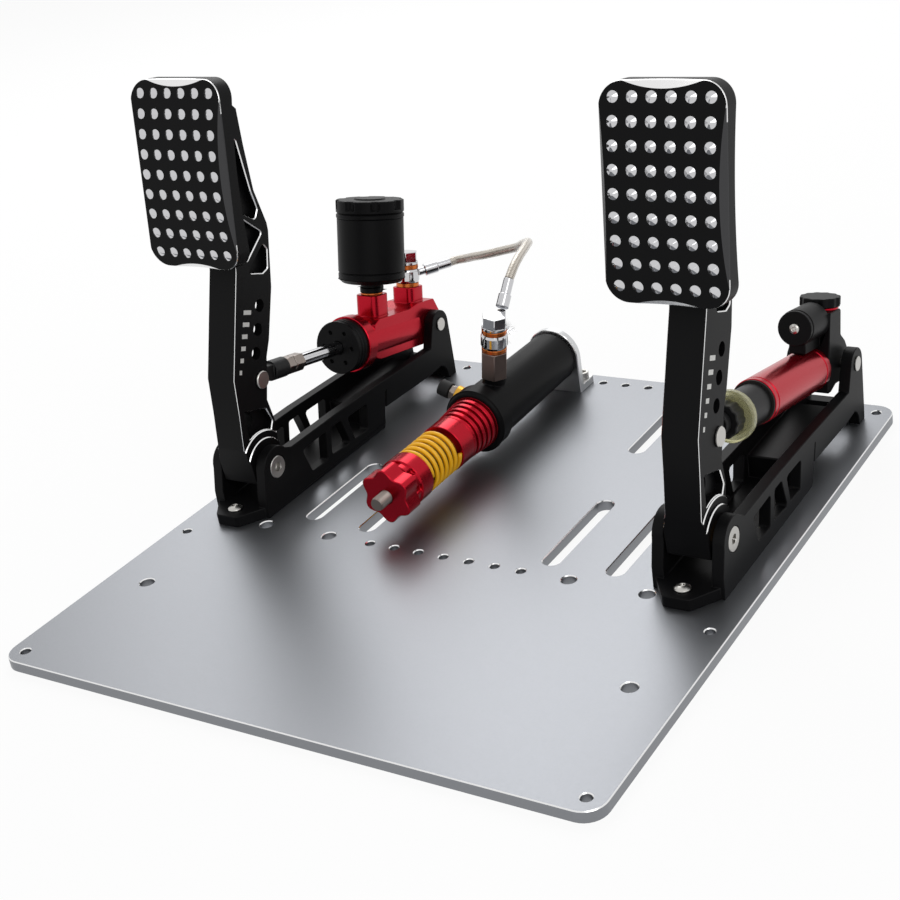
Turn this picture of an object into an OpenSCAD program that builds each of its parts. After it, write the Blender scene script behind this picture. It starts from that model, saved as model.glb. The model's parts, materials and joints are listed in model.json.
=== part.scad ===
// Sim racing pedal set: hydraulic brake on the left, damped throttle on the right, one base plate.
// Millimetres. X points right, Y points away from the driver, Z points up.
// The origin is the middle of the base plate's underside.
// Places along Y are measured from the plate's front edge, and heights from its top face.

/* [Base plate] */
// Width of the base plate
plate_w = 430; // [420:5:520]
// Depth of the base plate
plate_d = 484; // [480:2:560]
// Thickness of the base plate
plate_t = 8; // [6:1:14]
// Radius of the plate's corners
plate_r = 14; // [6:1:24]
// Distance of the corner holes from the plate's edges
corner_inset = 12; // [10:1:16]
// Radius of the corner holes
corner_hole_r = 3.4; // [2.5:0.1:4.5]
// Radius of the large holes
large_hole_r = 5; // [4:0.1:6]
// Radius of the small row holes
small_hole_r = 3.2; // [2.5:0.1:4]
// Distance between the holes of the rows
row_pitch = 19.8; // [18:0.2:22]
// Place of the middle row of holes
row_y = 197.3; // [190:0.5:200]
// Width of the adjusting slots
slot_w = 12.5; // [9:0.5:14]

/* [Pedal places] */
// Centre of the brake pedal
brake_x = -176.5; // [-182:0.5:-170]
// Centre of the throttle pedal
throttle_x = 173.7; // [168:0.5:182]
// Place of the pedal pivots along the plate
pivot_y = 225; // [221:1:229]
// Height of the pedal pivots above the plate
pivot_z = 31.7; // [31:0.1:34]
// Place of the cylinders' rear pins along the plate
rear_pin_y = 450; // [444:1:454]
// Height of the cylinders' rear pins above the plate
rear_pin_z = 48.3; // [46:0.1:52]

/* [Brackets] */
// Width over both side plates
bracket_w = 48; // [48:0.5:52]
// Thickness of a side plate
wall_t = 8; // [6:0.5:8]
// Height of the side plates' top edge
wall_h = 38.8; // [36:0.1:42]
// Thickness of the floor between the side plates
floor_t = 8; // [6:0.5:9]
// Radius of the pivot boss in the side plates
boss_r = 15.4; // [14:0.1:17]
// Radius of the ear round the rear pin
ear_r = 11.5; // [10:0.1:12]
// Radius of the pivot bolts
pivot_bolt_r = 6; // [5:0.1:6.5]
// Radius of the rear pins
rear_pin_r = 4; // [3:0.1:4.5]

/* [Pedal arms] */
// Width of the arms
arm_w = 24; // [22:0.5:26]
// Radius of the hub round the pivot
hub_r = 15; // [13.5:0.1:15]
// Place of the rod pin behind the pivot
rod_dy = 15.5; // [14:0.5:17]
// Height of the rod pin above the pivot
rod_dz = 60.3; // [58:0.1:62]
// Radius of the rod pin
rod_pin_r = 4.6; // [3.5:0.1:4.8]
// Width of the slot for the rod end
fork_w = 11; // [10:0.5:12]
// Distance between the pin holes up the arm
hole_pitch = 16.9; // [16:0.1:18]
// Depth of the pockets in the arm's sides
pocket_d = 5.5; // [3:0.5:6]

/* [Pedal pads] */
// Width of a pad
pad_w = 77; // [68:1:80]
// Thickness of a pad
pad_t = 12.5; // [10:0.5:14]
// Radius that the pad's face is bent to
pad_bend_r = 372; // [320:2:500]
// Front of the pad's face, measured at its bottom row of studs
pad_face_y = 216; // [214:0.5:218]
// Height of the bottom row of studs
pad_row_z = 195.5; // [190:0.5:200]
// Radius of a pad's corners
pad_corner_r = 14; // [8:0.5:16]
// Distance between studs across the pad
stud_pitch_x = 11.8; // [10:0.1:12.4]
// Distance between studs along the face
stud_pitch_z = 13.35; // [12:0.05:13.6]
// Radius of a stud's dome
stud_r = 3.4; // [2.4:0.1:4]

/* [Brake cylinder] */
// Radius of the brake push rod
pushrod_r = 5.2; // [4.5:0.1:6]
// Radius of the cylinder's front cap
master_cap_r = 20.5; // [18.5:0.1:21]
// Half width of the cylinder body
master_half_w = 15; // [13:0.5:15.5]
// Radius of the piston in the bore
master_piston_r = 9.5; // [8:0.1:10.5]
// Radius of the fluid reservoir
reservoir_r = 26; // [24:0.5:28]
// Wall of the fluid reservoir
reservoir_wall = 3; // [2:0.5:4]
// Height of the reservoir's body
reservoir_h = 50.2; // [44:0.2:56]
// Height of the reservoir's cap
reservoir_cap_h = 14.8; // [13:0.1:20]

/* [Throttle damper] */
// Radius of the damper's red cylinder
damper_r = 15.5; // [15:0.1:17]
// Radius of the plunger that slides in the cylinder
plunger_r = 13; // [11:0.1:13.2]
// Radius of the clear bump ring
bump_ring_r = 17; // [16:0.1:18.5]
// Half width of the damper's rear block
block_half_w = 13.5; // [12:0.5:15]
// Radius of the piggyback chamber
piggyback_r = 12.4; // [11:0.1:13]
// Radius of the damper's top knob
damper_knob_r = 14.3; // [13:0.1:16]

/* [Slave cylinder] */
// Centre of the slave cylinder
slave_x = -50; // [-60:1:-40]
// Height of the slave cylinder's axis above the plate
slave_z = 29.7; // [28:0.1:34]
// Front of the slave cylinder's rear bracket
slave_rear_y = 449.5; // [444:0.5:452]
// Radius of the slave cylinder's body at its front
slave_r = 21.6; // [19.5:0.1:22]
// Radius of the slave cylinder's body at its rear
slave_rear_r = 20.2; // [18.5:0.1:21]
// Length of the slave cylinder's body
slave_l = 106.5; // [98:0.5:116]
// Radius of the collar in front of the body
collar_r = 24.2; // [22:0.1:25]
// Angle that the hose port leans to the right
port_lean = 9; // [6:1:12]
// Angle of the bleed port above the horizontal
bleed_angle = 20; // [10:1:30]
// Outer radius of the preload spring
spring_r = 17.6; // [16.5:0.1:18.5]
// Radius of the spring's wire
spring_wire_r = 1.6; // [1.2:0.1:2]
// Length of the preload spring
spring_l = 39.5; // [37:0.5:44]
// Curls of the preload spring
spring_curls = 6; // [5:1:7]
// Radius of the threaded preload stud
stud_rod_r = 5; // [4:0.1:6]

/* [Hose] */
// Radius of the brake hose
hose_r = 3.5; // [2.8:0.1:3.8]
// Sides of the hose
hose_sides = 10; // [8:1:12]

/* [Hidden] */
$fn = 64;

// Clearances: pieces that seat, parts that run in a bore, and the pivot that stays loose
seat = 0.3;
running = 0.05;
bolt_gap = 0.1;
loose = 0.7;
eps = 0.01;

black = "#1b1b1c";
red = "#b5121f";
steel = "#b9b7b2";
copper = "#b5541c";
brass = "#c99a3c";

// Where the rod pins lie, and the line from them to the rear pins
rod_y = pivot_y + rod_dy;
rod_z = pivot_z + rod_dz;
line_dy = rear_pin_y - rod_y;
line_dz = rod_z - rear_pin_z;
line_len = sqrt(line_dy * line_dy + line_dz * line_dz);
line_tilt = atan2(line_dz, line_dy);
gap_w = bracket_w - 2 * wall_t;

// A point list for an arc about c, from angle a to angle b
function arc(c, r, a, b, n) = [for (i = [0:n]) c + r * [cos(a + (b - a) * i / n), sin(a + (b - a) * i / n)]];

// Unit vector
function unit(v) = v / norm(v);

// One rounded corner: the arc of radius r that touches both edges at p
function corner(a, p, b, r, n) =
    let (u = unit(a - p), v = unit(b - p), half = acos(max(-1, min(1, u * v))) / 2,
         t = min(r / tan(half), 0.45 * norm(a - p), 0.45 * norm(b - p)), rr = t * tan(half),
         c = p + unit(u + v) * rr / sin(half), s = p + u * t - c, e = p + v * t - c,
         a0 = atan2(s[1], s[0]), turn = atan2(e[1], e[0]) - a0,
         d = turn > 180 ? turn - 360 : turn < -180 ? turn + 360 : turn)
    [for (i = [0:n]) c + rr * [cos(a0 + d * i / n), sin(a0 + d * i / n)]];

// An outline with every corner rounded
function rounded(pts, r, n = 4) =
    [for (i = [0:len(pts) - 1])
        each corner(pts[(i + len(pts) - 1) % len(pts)], pts[i], pts[(i + 1) % len(pts)], r, n)];

// A side view outline, given as points along Y and Z, extruded w wide about X = 0
module side_plate(pts, w) {
    rotate([90, 0, 90])
        translate([0, 0, -w / 2])
            linear_extrude(w) polygon(pts);
}

// Round bars along X, about X = 0, and along Y from the origin
module bar_x(r, l) {
    rotate([0, 90, 0]) cylinder(r = r, h = l, center = true);
}
module bar_y(r, l) {
    rotate([-90, 0, 0]) cylinder(r = r, h = l);
}
module tube_y(r, bore, l) {
    difference() {
        bar_y(r, l);
        translate([0, -1, 0]) bar_y(bore, l + 2);
    }
}
// A nut or bolt head along Z
module hex(af, h) {
    cylinder(r = af / sqrt(3), h = h, $fn = 6);
}

// The frames that the pieces are drawn in
module on_plate() {
    translate([0, -plate_d / 2, plate_t]) children();
}
module at_pivot(x) {
    on_plate() translate([x, pivot_y, pivot_z]) children();
}
// Along the cylinder: Y runs from the rod pin to the rear pin, Z stands square to it
module on_line(x, s = 0) {
    on_plate() translate([x, rod_y, rod_z]) rotate([-line_tilt, 0, 0]) translate([0, s, 0]) children();
}
module on_slave(y) {
    on_plate() translate([slave_x, y, slave_z]) children();
}

// Base plate

module plate_blank(w, d, r, t) {
    linear_extrude(t)
        polygon(rounded([[-w / 2, 0], [w / 2, 0], [w / 2, d], [-w / 2, d]], r, 8));
}
module hole_at(x, y, r) {
    translate([x, y, -plate_t - 1]) cylinder(r = r, h = plate_t + 2);
}
module slot_at(x, y0, y1) {
    translate([x, 0, 0]) {
        hole_at(0, y0 + slot_w / 2, slot_w / 2);
        hole_at(0, y1 - slot_w / 2, slot_w / 2);
        translate([-slot_w / 2, y0 + slot_w / 2, -plate_t - 1])
            cube([slot_w, y1 - y0 - slot_w, plate_t + 2]);
    }
}
corner_dx = plate_w / 2 - corner_inset;
front_hole = [182, 105.8];
side_hole = [202.2, 171.7];
row_hole_x = [94.5, 149.4];
rear_hole_x = 148;
slot_list = [[-122, 213, 300], [-74, 210, 296], [72.7, 209, 297.5], [118.6, 210, 320], [58, 367, 440]];
foot_screw_y = pivot_y - 27;
rear_screw_y = rear_pin_y + 6.5;
rear_screw_dx = bracket_w / 2 - wall_t / 2;
bracket_screw_r = 3;
rear_screw_r = 2.5;
rear_head_r = 4.3;
rear_head_h = 3.5;
slave_foot_y = slave_rear_y + 15.5;
slave_bolt_dx = 16.5;

module base_plate() {
    color("#c6c8ca") on_plate() difference() {
        translate([0, 0, -plate_t]) plate_blank(plate_w, plate_d, plate_r, plate_t);
        for (sx = [-1, 1]) {
            hole_at(sx * corner_dx, corner_inset, corner_hole_r);
            hole_at(sx * corner_dx, plate_d - corner_inset, corner_hole_r);
            hole_at(sx * front_hole[0], front_hole[1], large_hole_r);
            hole_at(sx * side_hole[0], side_hole[1], small_hole_r);
            for (x = row_hole_x) hole_at(sx * x, row_y, large_hole_r);
            hole_at(sx * rear_hole_x, plate_d - corner_inset, small_hole_r);
        }
        for (k = [-3:3]) hole_at(k * row_pitch, row_y, small_hole_r);
        for (k = [-1:3]) hole_at(k * row_pitch, plate_d - corner_inset, small_hole_r);
        for (s = slot_list) slot_at(s[0], s[1], s[2]);
        for (x = [brake_x, throttle_x]) {
            hole_at(x, foot_screw_y, bracket_screw_r + bolt_gap);
            for (sx = [-1, 1]) {
                hole_at(x + sx * rear_screw_dx, rear_screw_y, rear_screw_r + bolt_gap);
                translate([x + sx * rear_screw_dx, rear_screw_y, -plate_t - 1])
                    cylinder(r = rear_head_r + seat, h = rear_head_h + 1);
            }
        }
        for (sx = [-1, 1]) hole_at(slave_x + sx * slave_bolt_dx, slave_foot_y, bracket_screw_r + bolt_gap);
    }
}

// Pedal brackets

pivot = [pivot_y, pivot_z];
rear_pin = [rear_pin_y, rear_pin_z];
bracket_front_y = pivot_y - 20;
bar_front_y = pivot_y + 132;
step_y = pivot_y + 117;
step_z = 24;
bar_z = 14;
bracket_rear_y = rear_pin_y + ear_r + 0.5;
pivot_head_r = 8;
pivot_head_t = 2.5;
rear_head_out = 1.2;

// The side plate: front section on the base plate, raised bar behind it, ear and rear foot
bracket_outline = concat(
    [[bracket_front_y, 0], [bracket_front_y + 0.5, pivot_z - 16.7]],
    arc(pivot, boss_r, 180, 40, 12),
    [[pivot_y + 18, wall_h], [pivot_y + 75, wall_h], [bar_front_y + 1, wall_h - 1.8], [rear_pin_y - 18, wall_h - 5]],
    arc(rear_pin, ear_r, 162, 0, 12),
    [[bracket_rear_y, 9], [bracket_rear_y, 0], [rear_pin_y + 1, 0]],
    arc([rear_pin_y - 11, 3], 11.5, 10, 75, 4),
    [[rear_pin_y - 24, bar_z - 1], [bar_front_y + 3, bar_z + 1.4], [bar_front_y, 4.5], [bar_front_y - 2.5, 0]]);

// A slit on each outer face, from the bar's front corner up to the ear
slit_w = 1.4;
slit_d = 1.2;
slit_path = [[bar_front_y - 0.2, 4.7], [bar_front_y + 3, 15.4], [bar_front_y + 6.9, 28.4]];

window_top = wall_h - 7.8;
bracket_windows = [
    [[29.5, window_top - 1], [59, window_top], [55, 9.5], [36, 10]],
    [[66, window_top], [78, window_top], [85, 9], [61, 11]],
    [[86.5, window_top - 1.5], [112.5, window_top - 2], [108, 9], [91, 9.5]]];

module bracket(x) {
    color(black) on_plate() translate([x, 0, 0]) difference() {
        union() {
            for (sx = [-1, 1])
                translate([sx * (bracket_w - wall_t) / 2, 0, 0]) side_plate(bracket_outline, wall_t);
            translate([-gap_w / 2 - eps, bracket_front_y, 0])
                cube([gap_w + 2 * eps, bar_front_y - 4 - bracket_front_y, floor_t]);
            translate([-gap_w / 2 - eps, step_y, eps])
                cube([gap_w + 2 * eps, bar_front_y - 4 - step_y, step_z - 2 * eps]);
            translate([-gap_w / 2 - eps, step_y + 1, bar_z + 1])
                cube([gap_w + 2 * eps, rear_pin_y - 24 - step_y, step_z - bar_z - 1]);
            translate([-gap_w / 2 - eps, rear_pin_y + 3, 0])
                cube([gap_w + 2 * eps, bracket_rear_y - rear_pin_y - 3, bar_z]);
            linear_extrude(floor_t)
                polygon(rounded([[-bracket_w / 2, bracket_front_y + 4], [-9, foot_screw_y - 11],
                                 [9, foot_screw_y - 11], [bracket_w / 2, bracket_front_y + 4],
                                 [bracket_w / 2, bracket_front_y + 9], [-bracket_w / 2, bracket_front_y + 9]], 4));
        }
        for (w = bracket_windows)
            side_plate(rounded([for (p = w) [pivot_y + p[0], p[1]]], 2.2), bracket_w + 2);
        for (sx = [-1, 1]) translate([sx * bracket_w / 2, 0, 0])
            side_plate(concat([for (p = slit_path) p - [slit_w / 2, 0]],
                              [for (k = [2:-1:0]) slit_path[k] + [slit_w / 2, 0]]), 2 * slit_d);
        translate([0, pivot_y, pivot_z]) {
            bar_x(pivot_bolt_r + bolt_gap, bracket_w + 2);
            for (sx = [-1, 1])
                translate([sx * bracket_w / 2, 0, 0]) bar_x(pivot_head_r + seat, 2 * (pivot_head_t + bolt_gap));
        }
        translate([0, rear_pin_y, rear_pin_z]) bar_x(rear_pin_r + bolt_gap, bracket_w + 2);
        translate([0, foot_screw_y, -1]) cylinder(r = bracket_screw_r + bolt_gap, h = floor_t + 2);
        for (sx = [-1, 1])
            translate([sx * rear_screw_dx, rear_screw_y, -1]) cylinder(r = rear_screw_r + bolt_gap, h = 11);
    }
}
module brake_bracket() {
    bracket(brake_x);
}
module throttle_bracket() {
    bracket(throttle_x);
}

// Screws

// A round headed screw whose head sits on z = 0, with its shank below
module button_screw(r, head_r, head_h, l) {
    difference() {
        intersection() {
            translate([0, 0, -eps]) cylinder(r = head_r, h = head_h + eps);
            translate([0, 0, head_h - 1.5 * head_r]) sphere(r = 1.5 * head_r);
        }
        translate([0, 0, head_h * 0.4]) hex(r * 1.1, head_h);
    }
    translate([0, 0, -l]) cylinder(r = r, h = l);
}
module mounting_bolts() {
    color(steel) on_plate() {
        for (x = [brake_x, throttle_x]) {
            translate([x, foot_screw_y, floor_t]) button_screw(bracket_screw_r, 5.3, 3.2, floor_t + plate_t - 1);
            for (sx = [-1, 1])
                translate([x + sx * rear_screw_dx, rear_screw_y, -plate_t + 0.2]) {
                    cylinder(r = rear_head_r, h = rear_head_h - 0.2);
                    cylinder(r = rear_screw_r, h = plate_t + 8);
                }
        }
        for (sx = [-1, 1])
            translate([slave_x + sx * slave_bolt_dx, slave_foot_y, slave_foot_t]) {
                translate([0, 0, 1 - slave_foot_t - plate_t]) cylinder(r = bracket_screw_r, h = slave_foot_t + plate_t);
                difference() {
                    cylinder(r = 4.8, h = 5.5);
                    translate([0, 0, 2.6]) hex(5, 4);
                }
            }
    }
}
module pivot_bolts() {
    color(steel) for (x = [brake_x, throttle_x]) at_pivot(x) difference() {
        union() {
            bar_x(pivot_bolt_r, bracket_w - 2 * pivot_head_t + eps);
            for (sx = [-1, 1])
                translate([sx * (bracket_w - pivot_head_t) / 2, 0, 0]) bar_x(pivot_head_r, pivot_head_t);
        }
        for (sx = [-1, 1])
            translate([sx * bracket_w / 2, 0, 0]) rotate([0, 90, 0]) translate([0, 0, -4]) hex(6, 8);
    }
}
module rear_pins() {
    color(steel) on_plate() for (x = [brake_x, throttle_x]) translate([x, rear_pin_y, rear_pin_z]) {
        bar_x(rear_pin_r, bracket_w + 2 * eps);
        for (sx = [-1, 1])
            translate([sx * (bracket_w + rear_head_out) / 2, 0, 0]) bar_x(rear_pin_r + 1.3, rear_head_out);
    }
}

// Pedal arms, drawn about the pivot

bush_r = 8;
bush_flange_r = 10;
bush_flange_t = 1.2;
hub_half_w = gap_w / 2 - bush_flange_t - seat;
ring_r = 25.5;
ring_half_w = arm_w / 2 + 1;
rod_pin = [rod_dy, rod_dz];
hole_lean = 24;
hole_first = [16, 80.4];
hub_step_r = 20.5;
hub_rim = 0.4;
pad_seat = 0.06;

// The pad's face is part of a cylinder about pad_c
pad_c = [pad_face_y + pad_bend_r - pivot_y, pad_row_z - pivot_z];
function pad_pt(r, a) = pad_c + r * [-cos(a), sin(a)];
function pad_angle(l) = l / pad_bend_r * 180 / PI;
pad_back_r = pad_bend_r - pad_t;
pad_rows = 9;
pad_cols = 6;
pad_a0 = pad_angle(-10.5);
pad_a1 = pad_angle((pad_rows - 1) * stud_pitch_z + 9);
pad_am = (pad_a0 + pad_a1) / 2;
pad_l = 2 * pad_bend_r * sin((pad_a1 - pad_a0) / 2);
flange_t = 6;
arm_back_r = pad_back_r - pad_seat;
arm_top = pad_pt(arm_back_r, 15)[1] + 5.2;
flange_w = 44;
pad_screw_a = [4.5, 12.5];
pad_screw_dx = 17;
pad_screw_r = 2.5;

arm_outline = concat(
    [[-14.8, -8], [-17.8, 20], [-14.6, 45.5], [-12.2, 71.3], [13.5, 141.9], [14.6, 146], [4.5, 159]],
    [for (a = [0.5:1:15.5]) pad_pt(arm_back_r, a)],
    [[34, arm_top], [48, arm_top - 15], [47.6, arm_top - 40.2], [48.5, 189.5], [55, 163.5], [55, 158], [53.3, 150.9], [46, 119],
     [32.1, 84.4], [25.8, 73.5], [rod_dy + 6.6, rod_dz], [16.8, 44], [20.1, 27], [16.5, 6]],
    arc([0, 0], hub_r, -12, -138, 12));

arm_pockets = [
    [[22, 228], [41, 228], [45.2, 190], [48.3, 176], [44, 170], [23, 184]],
    [[25, 180], [48.1, 159.1], [25, 143.7]],
    [[46.7, 151], [49.8, 145.9], [46.3, 133], [40.4, 131.5], [25, 137]]];
hub_pocket = concat([[-9.5, 46], [13.5, 38.6], [17.6, 27], [15, 22.6]], arc([0, 0], ring_r + hub_rim, 56, 112, 6));

module arm_pocket(pts, r) {
    for (sx = [-1, 1])
        translate([sx * arm_w / 2, 0, 0]) side_plate(rounded(pts, r), 2 * pocket_d);
}
module arm(x) {
    color(black) at_pivot(x) difference() {
        union() {
            side_plate(arm_outline, arm_w);
            intersection() {
                side_plate(arm_outline, 2 * hub_half_w);
                union() {
                    bar_x(ring_r, 2 * ring_half_w);
                    bar_x(hub_step_r, 2 * hub_half_w);
                }
            }
            side_plate(concat([for (a = [2.5:1:14.5]) pad_pt(arm_back_r, a)],
                              [for (a = [14.5:-1:2.5]) pad_pt(arm_back_r - flange_t, a)]), flange_w);
        }
        bar_x(bush_r + running / 2, gap_w);
        translate([0, rod_dy, rod_dz]) bar_x(rod_pin_r + running, arm_w + 2);
        for (i = [0:2])
            translate([0, hole_first[0] + i * hole_pitch * sin(hole_lean), hole_first[1] + i * hole_pitch * cos(hole_lean)])
                bar_x(rod_pin_r + running, arm_w + 2);
        translate([-fork_w / 2, rod_dy - 10.6, rod_dz - 12.5]) cube([fork_w, 50, 66]);
        for (p = arm_pockets) arm_pocket(p, 2);
        arm_pocket(hub_pocket, 1.5);
        translate([0, -3, 35.5]) bar_x(6.5, arm_w + 2);
        for (a = pad_screw_a, sx = [-1, 1])
            translate([sx * pad_screw_dx, pad_pt(pad_back_r, a)[0], pad_pt(pad_back_r, a)[1]])
                rotate([-a, 0, 0]) translate([0, -1, 0]) bar_y(pad_screw_r + bolt_gap, flange_t + 3);
    }
}
module brake_arm() {
    arm(brake_x);
}
module throttle_arm() {
    arm(throttle_x);
}
module bushes(x) {
    color(brass) at_pivot(x) for (sx = [-1, 1]) scale([sx, 1, 1]) difference() {
        union() {
            translate([hub_half_w / 2 + 2, 0, 0]) bar_x(bush_r, hub_half_w - 4);
            translate([hub_half_w + bush_flange_t / 2, 0, 0]) bar_x(bush_flange_r, bush_flange_t);
        }
        bar_x(pivot_bolt_r + running, 4 * hub_half_w);
    }
}
module brake_bushes() {
    bushes(brake_x);
}
module throttle_bushes() {
    bushes(throttle_x);
}
module arm_rod_pin(x) {
    color(steel) at_pivot(x) translate([0, rod_dy, rod_dz]) {
        bar_x(rod_pin_r, arm_w + 2 * eps);
        for (sx = [-1, 1]) translate([sx * (arm_w / 2 + 1), 0, 0]) bar_x(rod_pin_r + 1.9, 2);
    }
}
module brake_rod_pin() {
    arm_rod_pin(brake_x);
}
module throttle_rod_pin() {
    arm_rod_pin(throttle_x);
}

// Pads

// On the pad's face at angle a: Y points into the pad
module on_face(a, r = pad_bend_r) {
    translate([0, pad_pt(r, a)[0], pad_pt(r, a)[1]]) rotate([-a, 0, 0]) children();
}
// The chord of the face: the frame of the outline and of the bevels
module on_chord() {
    on_face(pad_am, pad_bend_r * cos((pad_a1 - pad_a0) / 2)) children();
}
function stud_x(j) = (j - (pad_cols - 1) / 2) * stud_pitch_x + pad_dx;
stud_shank_r = 1.9;
stud_h = 2;
bevel_r = 82;
bevel_top = 3.8;
bevel_bottom = 2.5;
side_bevel = -1.5;
pad_dx = -0.9;

module pad(x) {
    n = 16;
    color(black) at_pivot(x) difference() {
        intersection() {
            side_plate(concat([for (i = [0:n]) pad_pt(pad_bend_r, pad_a0 - 1 + (pad_a1 - pad_a0 + 2) * i / n)],
                              [for (i = [n:-1:0]) pad_pt(pad_back_r, pad_a0 - 1 + (pad_a1 - pad_a0 + 2) * i / n)]),
                       pad_w + 4);
            on_chord() translate([pad_dx, 0, 0]) rotate([90, 0, 0]) translate([0, 0, -50]) linear_extrude(100)
                polygon(rounded([[-pad_w / 2, -pad_l / 2], [pad_w / 2, -pad_l / 2],
                                 [pad_w / 2, pad_l / 2], [-pad_w / 2, pad_l / 2]], pad_corner_r, 8));
        }
        on_chord() translate([pad_dx, 0, 0]) {
            for (sx = [-1, 1])
                translate([sx * (pad_w / 2 - side_bevel), 0, 0]) rotate([0, 0, sx > 0 ? -45 : -135])
                    translate([0, -30, -80]) cube([30, 60, 160]);
            translate([0, -10, -pad_l / 2 - bevel_r + bevel_bottom]) rotate([-90, 0, 0])
                cylinder(r1 = bevel_r + 10, r2 = bevel_r - 10, h = 20, $fn = 180);
            translate([0, -10, pad_l / 2 + bevel_r - bevel_top]) rotate([-90, 0, 0])
                cylinder(r1 = bevel_r + 10, r2 = bevel_r - 10, h = 20, $fn = 180);
        }
        for (i = [0:pad_rows - 1], j = [0:pad_cols - 1])
            on_face(pad_angle(i * stud_pitch_z))
                translate([stud_x(j), -1, 0]) bar_y(stud_shank_r + running, 4);
        for (a = pad_screw_a, sx = [-1, 1])
            on_face(a, pad_back_r) translate([sx * pad_screw_dx, -8, 0]) bar_y(pad_screw_r + bolt_gap, 10);
    }
}
module brake_pad() {
    pad(brake_x);
}
module throttle_pad() {
    pad(throttle_x);
}
module pad_studs(x) {
    dome_r = (stud_r * stud_r + stud_h * stud_h) / (2 * stud_h);
    color("#d8d8d6") at_pivot(x) for (i = [0:pad_rows - 1], j = [0:pad_cols - 1])
        on_face(pad_angle(i * stud_pitch_z)) translate([stud_x(j), -0.05, 0]) {
            bar_y(stud_shank_r, 2.8);
            intersection() {
                translate([0, dome_r - stud_h, 0]) sphere(r = dome_r, $fn = 24);
                translate([-5, -10, -5]) cube([10, 10 + eps, 10]);
            }
        }
}
module brake_pad_studs() {
    pad_studs(brake_x);
}
module throttle_pad_studs() {
    pad_studs(throttle_x);
}
module pad_screws(x) {
    color(steel) at_pivot(x) for (a = pad_screw_a, sx = [-1, 1])
        on_face(a, pad_back_r) translate([sx * pad_screw_dx, 0, 0]) {
            translate([0, -7, 0]) bar_y(pad_screw_r, flange_t + 8);
            translate([0, flange_t + 0.2, 0]) bar_y(4.2, 4);
        }
}
module brake_pad_screws() {
    pad_screws(brake_x);
}
module throttle_pad_screws() {
    pad_screws(throttle_x);
}

// Rods from the arms

eye_r = rod_pin_r + 4.6;
eye_w = fork_w - 1;
rod_end_l = 39.5;
stud_bore_r = 4;
collar_end_r = 7.5;

module rod_end(x, l) {
    color(black) on_line(x) difference() {
        union() {
            bar_x(eye_r, eye_w);
            translate([-eye_w / 2, 3, -5.5]) cube([eye_w, 22, 11]);
            translate([0, 23, 0]) bar_y(collar_end_r, l - 23);
        }
        bar_x(rod_pin_r + loose, eye_w + 2);
        translate([0, 17, 0]) bar_y(stud_bore_r + bolt_gap, l);
    }
}
module brake_rod_end() {
    rod_end(brake_x, rod_end_l);
}
module jam_nuts() {
    color(steel) on_line(brake_x, rod_end_l) for (n = [[0.1, 8.4], [8.8, 10.2]])
        translate([0, n[0], 0]) rotate([-90, 0, 0]) difference() {
            hex(12.5, n[1]);
            translate([0, 0, -1]) cylinder(r = stud_bore_r + bolt_gap, h = n[1] + 2);
        }
}
nuts_end = rod_end_l + 19.2;

// The master cylinder is placed from the rear pin
cap_front = line_len - 107.4;
cap_l = 12.5;
flange_l = 10.5;
body_front = cap_front + cap_l;
piston_front = body_front + 5;
piston_l = 22;
module pushrod() {
    color("#c9cbd0") on_line(brake_x) {
        translate([0, 18, 0]) bar_y(stud_bore_r, nuts_end - 18 + 1);
        translate([0, nuts_end, 0]) bar_y(pushrod_r, piston_front - nuts_end);
    }
}
module master_piston() {
    color(steel) on_line(brake_x, piston_front) {
        bar_y(master_piston_r, piston_l);
    }
}

master_profile = [[-78, -13], [-78, 13], [-72, 16.5], [-30, 17], [-17, 19.7], [5.3, 19.7], [13.1, 8.7],
                  [13.6, -5], [8, -11], [-9, -15], [-72, -15]];
body_tube_r = 17.4;
body_tube_l = 78;
port1_s = -59.4;
port2_s = -9.4;
port1_h = 34;
port2_h = 31.6;
port_w = 20;
port_bolt_r = 5;

module on_rear(x) {
    on_line(x, line_len) children();
}
module port_block(s, w, r, h) {
    translate([0, s, 0]) linear_extrude(h)
        polygon(rounded([[-w / 2, -w / 2], [w / 2, -w / 2], [w / 2, w / 2], [-w / 2, w / 2]], r));
}
module master_body() {
    color(red) on_rear(brake_x) difference() {
        union() {
            translate([0, body_front - line_len, 0]) bar_y(master_cap_r + 1.5, flange_l);
            translate([0, body_front - line_len, 0]) bar_y(body_tube_r, body_tube_l);
            side_plate(rounded(master_profile, 2), 2 * master_half_w);
            port_block(port1_s, port_w, 5, port1_h);
            port_block(port2_s, port_w, 5, port2_h);
        }
        translate([0, body_front - line_len - 1, 0]) bar_y(master_piston_r + running, 75);
        bar_x(rear_pin_r + running, 50);
        translate([0, port2_s, port2_h - 12]) cylinder(r = port_bolt_r + bolt_gap, h = 20);
        translate([0, port1_s, port1_h - 8]) cylinder(r = neck_spigot_r + bolt_gap, h = 20);
    }
}
module master_cap() {
    color(black) on_line(brake_x, cap_front) difference() {
        bar_y(master_cap_r, cap_l);
        translate([0, -1, 0]) bar_y(pushrod_r + running, cap_l + 2);
        for (i = [0:5]) rotate([0, 60 * i, 0]) translate([13, -1, 0]) bar_y(1.5, 4);
        for (y = [3.5, 7]) translate([0, y, 0]) tube_y(master_cap_r + 1, master_cap_r - 0.8, 1.2);
    }
}

// Reservoir

neck_spigot_r = 5;
neck_r = 9;
neck_top = 43.6;
reservoir_lean = 2.26;
reservoir_ds = 0.7;
module on_port1() {
    on_rear(brake_x) translate([0, port1_s, 0]) children();
}
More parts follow.
